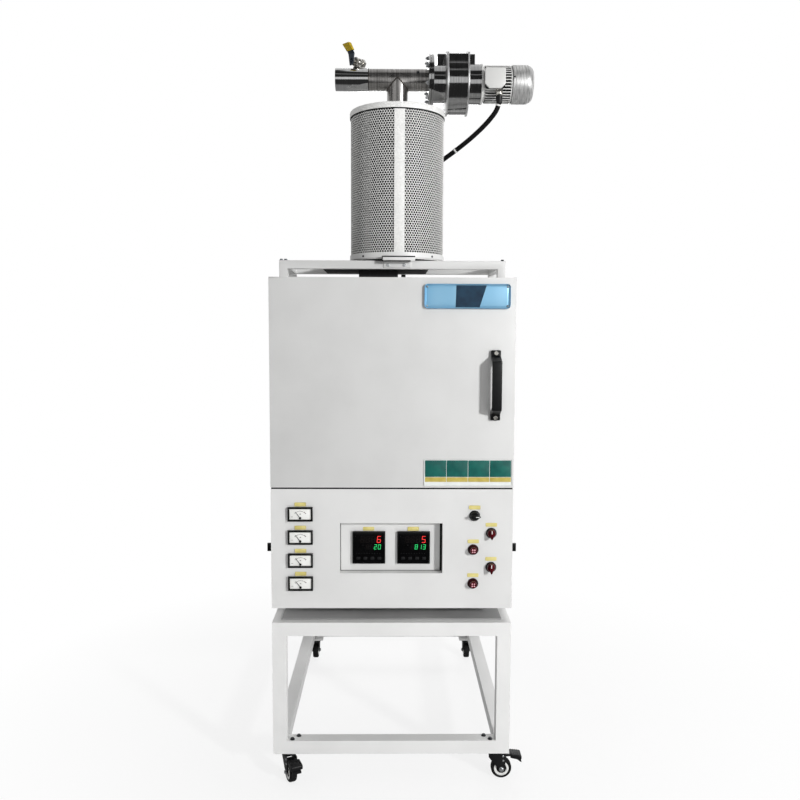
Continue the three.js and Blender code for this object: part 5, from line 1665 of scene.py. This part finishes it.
grille_rings = (8, 16, 24, 32)
grille_bars = 8
cover_screw_angles = tuple(math.radians(degrees) for degrees in (-98, 30, 150))


def fan_cover():
    """The rounded cover with its grille, screws and a dark disc for the fan and the painted shade inside
    the cover.
    """
    x0, x1 = cover_x
    radius = (cover_z[1] - cover_z[0]) / 2
    shell = turned("x", blower_line, [
        (x0, radius - 3), (x0, radius - 0.6), (x0 + 0.6, radius), (x0 + 7, radius),
        (x0 + 7.6, radius - 0.5), (x0 + 8.8, radius - 0.5), (x0 + 9.4, radius), (x1 - 20, radius),
        (x1 - 16, radius - 0.7), (x1 - 9, radius - 4.2), (x1 - 3, radius - 9), (x1 - 0.8, radius - 12),
        (x1, radius - 15), (x1, radius - 19), (x1 - 2, radius - 19), (x1 - 3, radius - 13),
        (x1 - 10, radius - 7), (x1 - 18, radius - 3), (x0, radius - 3)], 96, True)
    settle(shell, "fan_cover_shell", "furnace", silver_paint, 35, ("fan_cover",))
    rings = []
    for ring_radius in grille_rings:
        rings.append(turned("x", blower_line, [(x1 - 2.2, ring_radius), (x1 - 2.2, ring_radius + 3),
                                               (x1 - 0.6, ring_radius + 2.6), (x1 - 0.6, ring_radius + 0.4),
                                               (x1 - 2.2, ring_radius)], 64, True))
    bar = slab((x1 - 2.6, x1 - 1.0), (tower[1] + 4, tower[1] + radius - 17),
               (blower_axis - 1.6, blower_axis + 1.6), 0.4, 1)
    bars = ringed(bar, grille_bars, "X", (0, tower[1], blower_axis))
    settle(joined(*rings, bars), "fan_cover_grille", "furnace", silver_cast)
    # A black disc behind the grille: it stands for the fan, and is partly painted shade inside the cover.
    shade = turned("x", blower_line, [(x1 - 16, radius - 9), (x1 - 15, radius - 9.5)], 64)
    settle(shade, "fan_cover_fan_shade_disc", "furnace", black_nylon)
    heads = []
    for angle in cover_screw_angles:
        head = pan_screw("z", (x0 + 4, 0, 0), 3.2, 1.8)
        to_axis = Matrix.Translation((0, tower[1], blower_axis)) @ Matrix.Rotation(angle + math.pi, 4, "X")
        head.data.transform(to_axis @ Matrix.Translation((0, 0, radius - 0.2)))
        heads.append(head)
    settle(joined(*heads), "fan_cover_screws", "furnace", dark_screw)


blower()
motor()
fan_cover()


# Floor, world and lamps. Distances on the floor are in metres from the middle of the stand.
floor_size = 24
shadow_reach = (0.7, 1.6)
floor_white_share = (0.8, 1.0)
mirrored_floor_y = (-1.5, -0.5)
mirrored_floor_level = (0.04, 0.3)
sky_level = (0.055, 0.54)
behind_level = 0.9
behind_from = (0.05, 0.4)
studio_layers = [(0.5, 0.9), (0.6, 0.9), (0.615, 0.03), (0.8, 0.03), (0.815, 0.3), (0.84, 0.3),
                 (0.855, 0.02), (0.96, 0.04), (0.98, 0.8)]


def floor():
    """A white floor that keeps the shadow under the furnace."""
    start()
    bpy.ops.mesh.primitive_plane_add(size=floor_size)
    made = bpy.context.object
    made.name = "studio_floor"
    material = bpy.data.materials.new("white_studio_floor")
    material.use_nodes = True
    tree = material.node_tree
    shader = tree.nodes["Principled BSDF"]
    shader.inputs["Base Color"].default_value = srgb("#F7F7F7")
    shader.inputs["Roughness"].default_value = 0.8
    light = add(tree, "ShaderNodeLightPath")
    where = add(tree, "ShaderNodeTexCoord")
    parts = add(tree, "ShaderNodeSeparateXYZ", inputs={0: where.outputs["Object"]})
    away = add(tree, "ShaderNodeVectorMath", {"operation": "LENGTH"}, {0: where.outputs["Object"]})
    share = add(tree, "ShaderNodeMapRange",
                inputs={0: away.outputs["Value"], 1: shadow_reach[0], 2: shadow_reach[1],
                        3: floor_white_share[0], 4: floor_white_share[1]})
    seen = add(tree, "ShaderNodeMath", {"operation": "MAXIMUM"},
               {0: light.outputs["Is Camera Ray"], 1: light.outputs["Is Transmission Ray"]})
    blend = add(tree, "ShaderNodeMath", {"operation": "MULTIPLY"},
                {0: seen.outputs[0], 1: share.outputs[0]})
    white = add(tree, "ShaderNodeEmission", inputs={"Color": (1, 1, 1, 1), "Strength": 1.0})
    mix = add(tree, "ShaderNodeMixShader", inputs={0: blend.outputs[0], 1: shader.outputs[0],
                                                   2: white.outputs[0]})
    near = add(tree, "ShaderNodeMapRange", {"interpolation_type": "SMOOTHSTEP"},
               {0: parts.outputs[1], 1: mirrored_floor_y[0], 2: mirrored_floor_y[1],
                3: mirrored_floor_level[0], 4: mirrored_floor_level[1]})
    mirrored = add(tree, "ShaderNodeEmission", inputs={"Color": (1, 1, 1, 1), "Strength": near.outputs[0]})
    mix = add(tree, "ShaderNodeMixShader", inputs={0: light.outputs["Is Glossy Ray"], 1: mix.outputs[0],
                                                   2: mirrored.outputs[0]})
    tree.links.new(mix.outputs[0], tree.nodes["Material Output"].inputs["Surface"])
    made.data.materials.append(material)


def ramp_stops(ramp, stops):
    """Sets a grey ramp's stops as (position, brightness)."""
    while len(ramp.elements) < len(stops):
        ramp.elements.new(0.5)
    for element, (position, level) in zip(ramp.elements, stops):
        element.position = position
        element.color = (level, level, level, 1)


def world():
    """White behind the object; in reflections a studio that is dim in front above a bright window line."""
    made = bpy.data.worlds.new("studio")
    bpy.context.scene.world = made
    made.use_nodes = True
    tree = made.node_tree
    light = add(tree, "ShaderNodeLightPath")
    where = add(tree, "ShaderNodeTexCoord")
    parts = add(tree, "ShaderNodeSeparateXYZ", inputs={0: where.outputs["Generated"]})
    behind = add(tree, "ShaderNodeMapRange", {"interpolation_type": "SMOOTHSTEP"},
                 {0: parts.outputs[1], 1: behind_from[0], 2: behind_from[1]})
    height = add(tree, "ShaderNodeMapRange", inputs={0: parts.outputs[2], 1: -1, 2: 1})
    layers = add(tree, "ShaderNodeValToRGB", inputs={0: height.outputs[0]})
    ramp_stops(layers.color_ramp, studio_layers)
    studio = add(tree, "ShaderNodeMix", {"data_type": "RGBA"},
                 {0: behind.outputs[0], 6: layers.outputs[0],
                  7: (behind_level, behind_level, behind_level, 1)})
    sky = add(tree, "ShaderNodeMapRange",
              inputs={0: parts.outputs[2], 1: -1, 2: 1, 3: sky_level[0], 4: sky_level[1]})
    soft = add(tree, "ShaderNodeBackground", inputs={"Color": (1, 1, 1, 1), "Strength": sky.outputs[0]})
    mirrored = add(tree, "ShaderNodeBackground", inputs={"Color": studio.outputs[2], "Strength": 1.0})
    backdrop = add(tree, "ShaderNodeBackground", inputs={"Color": (1, 1, 1, 1), "Strength": 1.0})
    glossy = add(tree, "ShaderNodeMixShader", inputs={0: light.outputs["Is Glossy Ray"], 1: soft.outputs[0],
                                                      2: mirrored.outputs[0]})
    seen = add(tree, "ShaderNodeMath", {"operation": "MAXIMUM"}, {0: light.outputs["Is Camera Ray"],
                                                                  1: light.outputs["Is Transmission Ray"]})
    mix = add(tree, "ShaderNodeMixShader", inputs={0: seen.outputs[0], 1: glossy.outputs[0],
                                                   2: backdrop.outputs[0]})
    tree.links.new(mix.outputs[0], tree.nodes["World Output"].inputs["Surface"])


def lamp(name, place, aim, size, power):
    """A rectangular lamp in layout millimetres, with its size in metres and its power in watts."""
    data = bpy.data.lights.new(name, "AREA")
    data.shape = "RECTANGLE"
    data.size, data.size_y = size
    data.energy = power
    made = bpy.data.objects.new(name, data)
    bpy.context.scene.collection.objects.link(made)
    at, to = to_frame @ Vector(place), to_frame @ Vector(aim)
    made.matrix_world = Matrix.Translation(at) @ (to - at).to_track_quat("-Z", "Y").to_matrix().to_4x4()


key_place = (3950, -4600, 2550)
key_aim = (0, 200, 1100)
key_size = (0.45, 0.45)
key_power = 278
rim_place = (600, 4200, 3000)
rim_aim = (0, 500, 1300)
rim_size = (2.0, 1.6)
rim_power = 60

floor()
world()
lamp("key_right", key_place, key_aim, key_size, key_power)
lamp("rim_back", rim_place, rim_aim, rim_size, rim_power)
bpy.context.scene.view_settings.view_transform = "Standard"
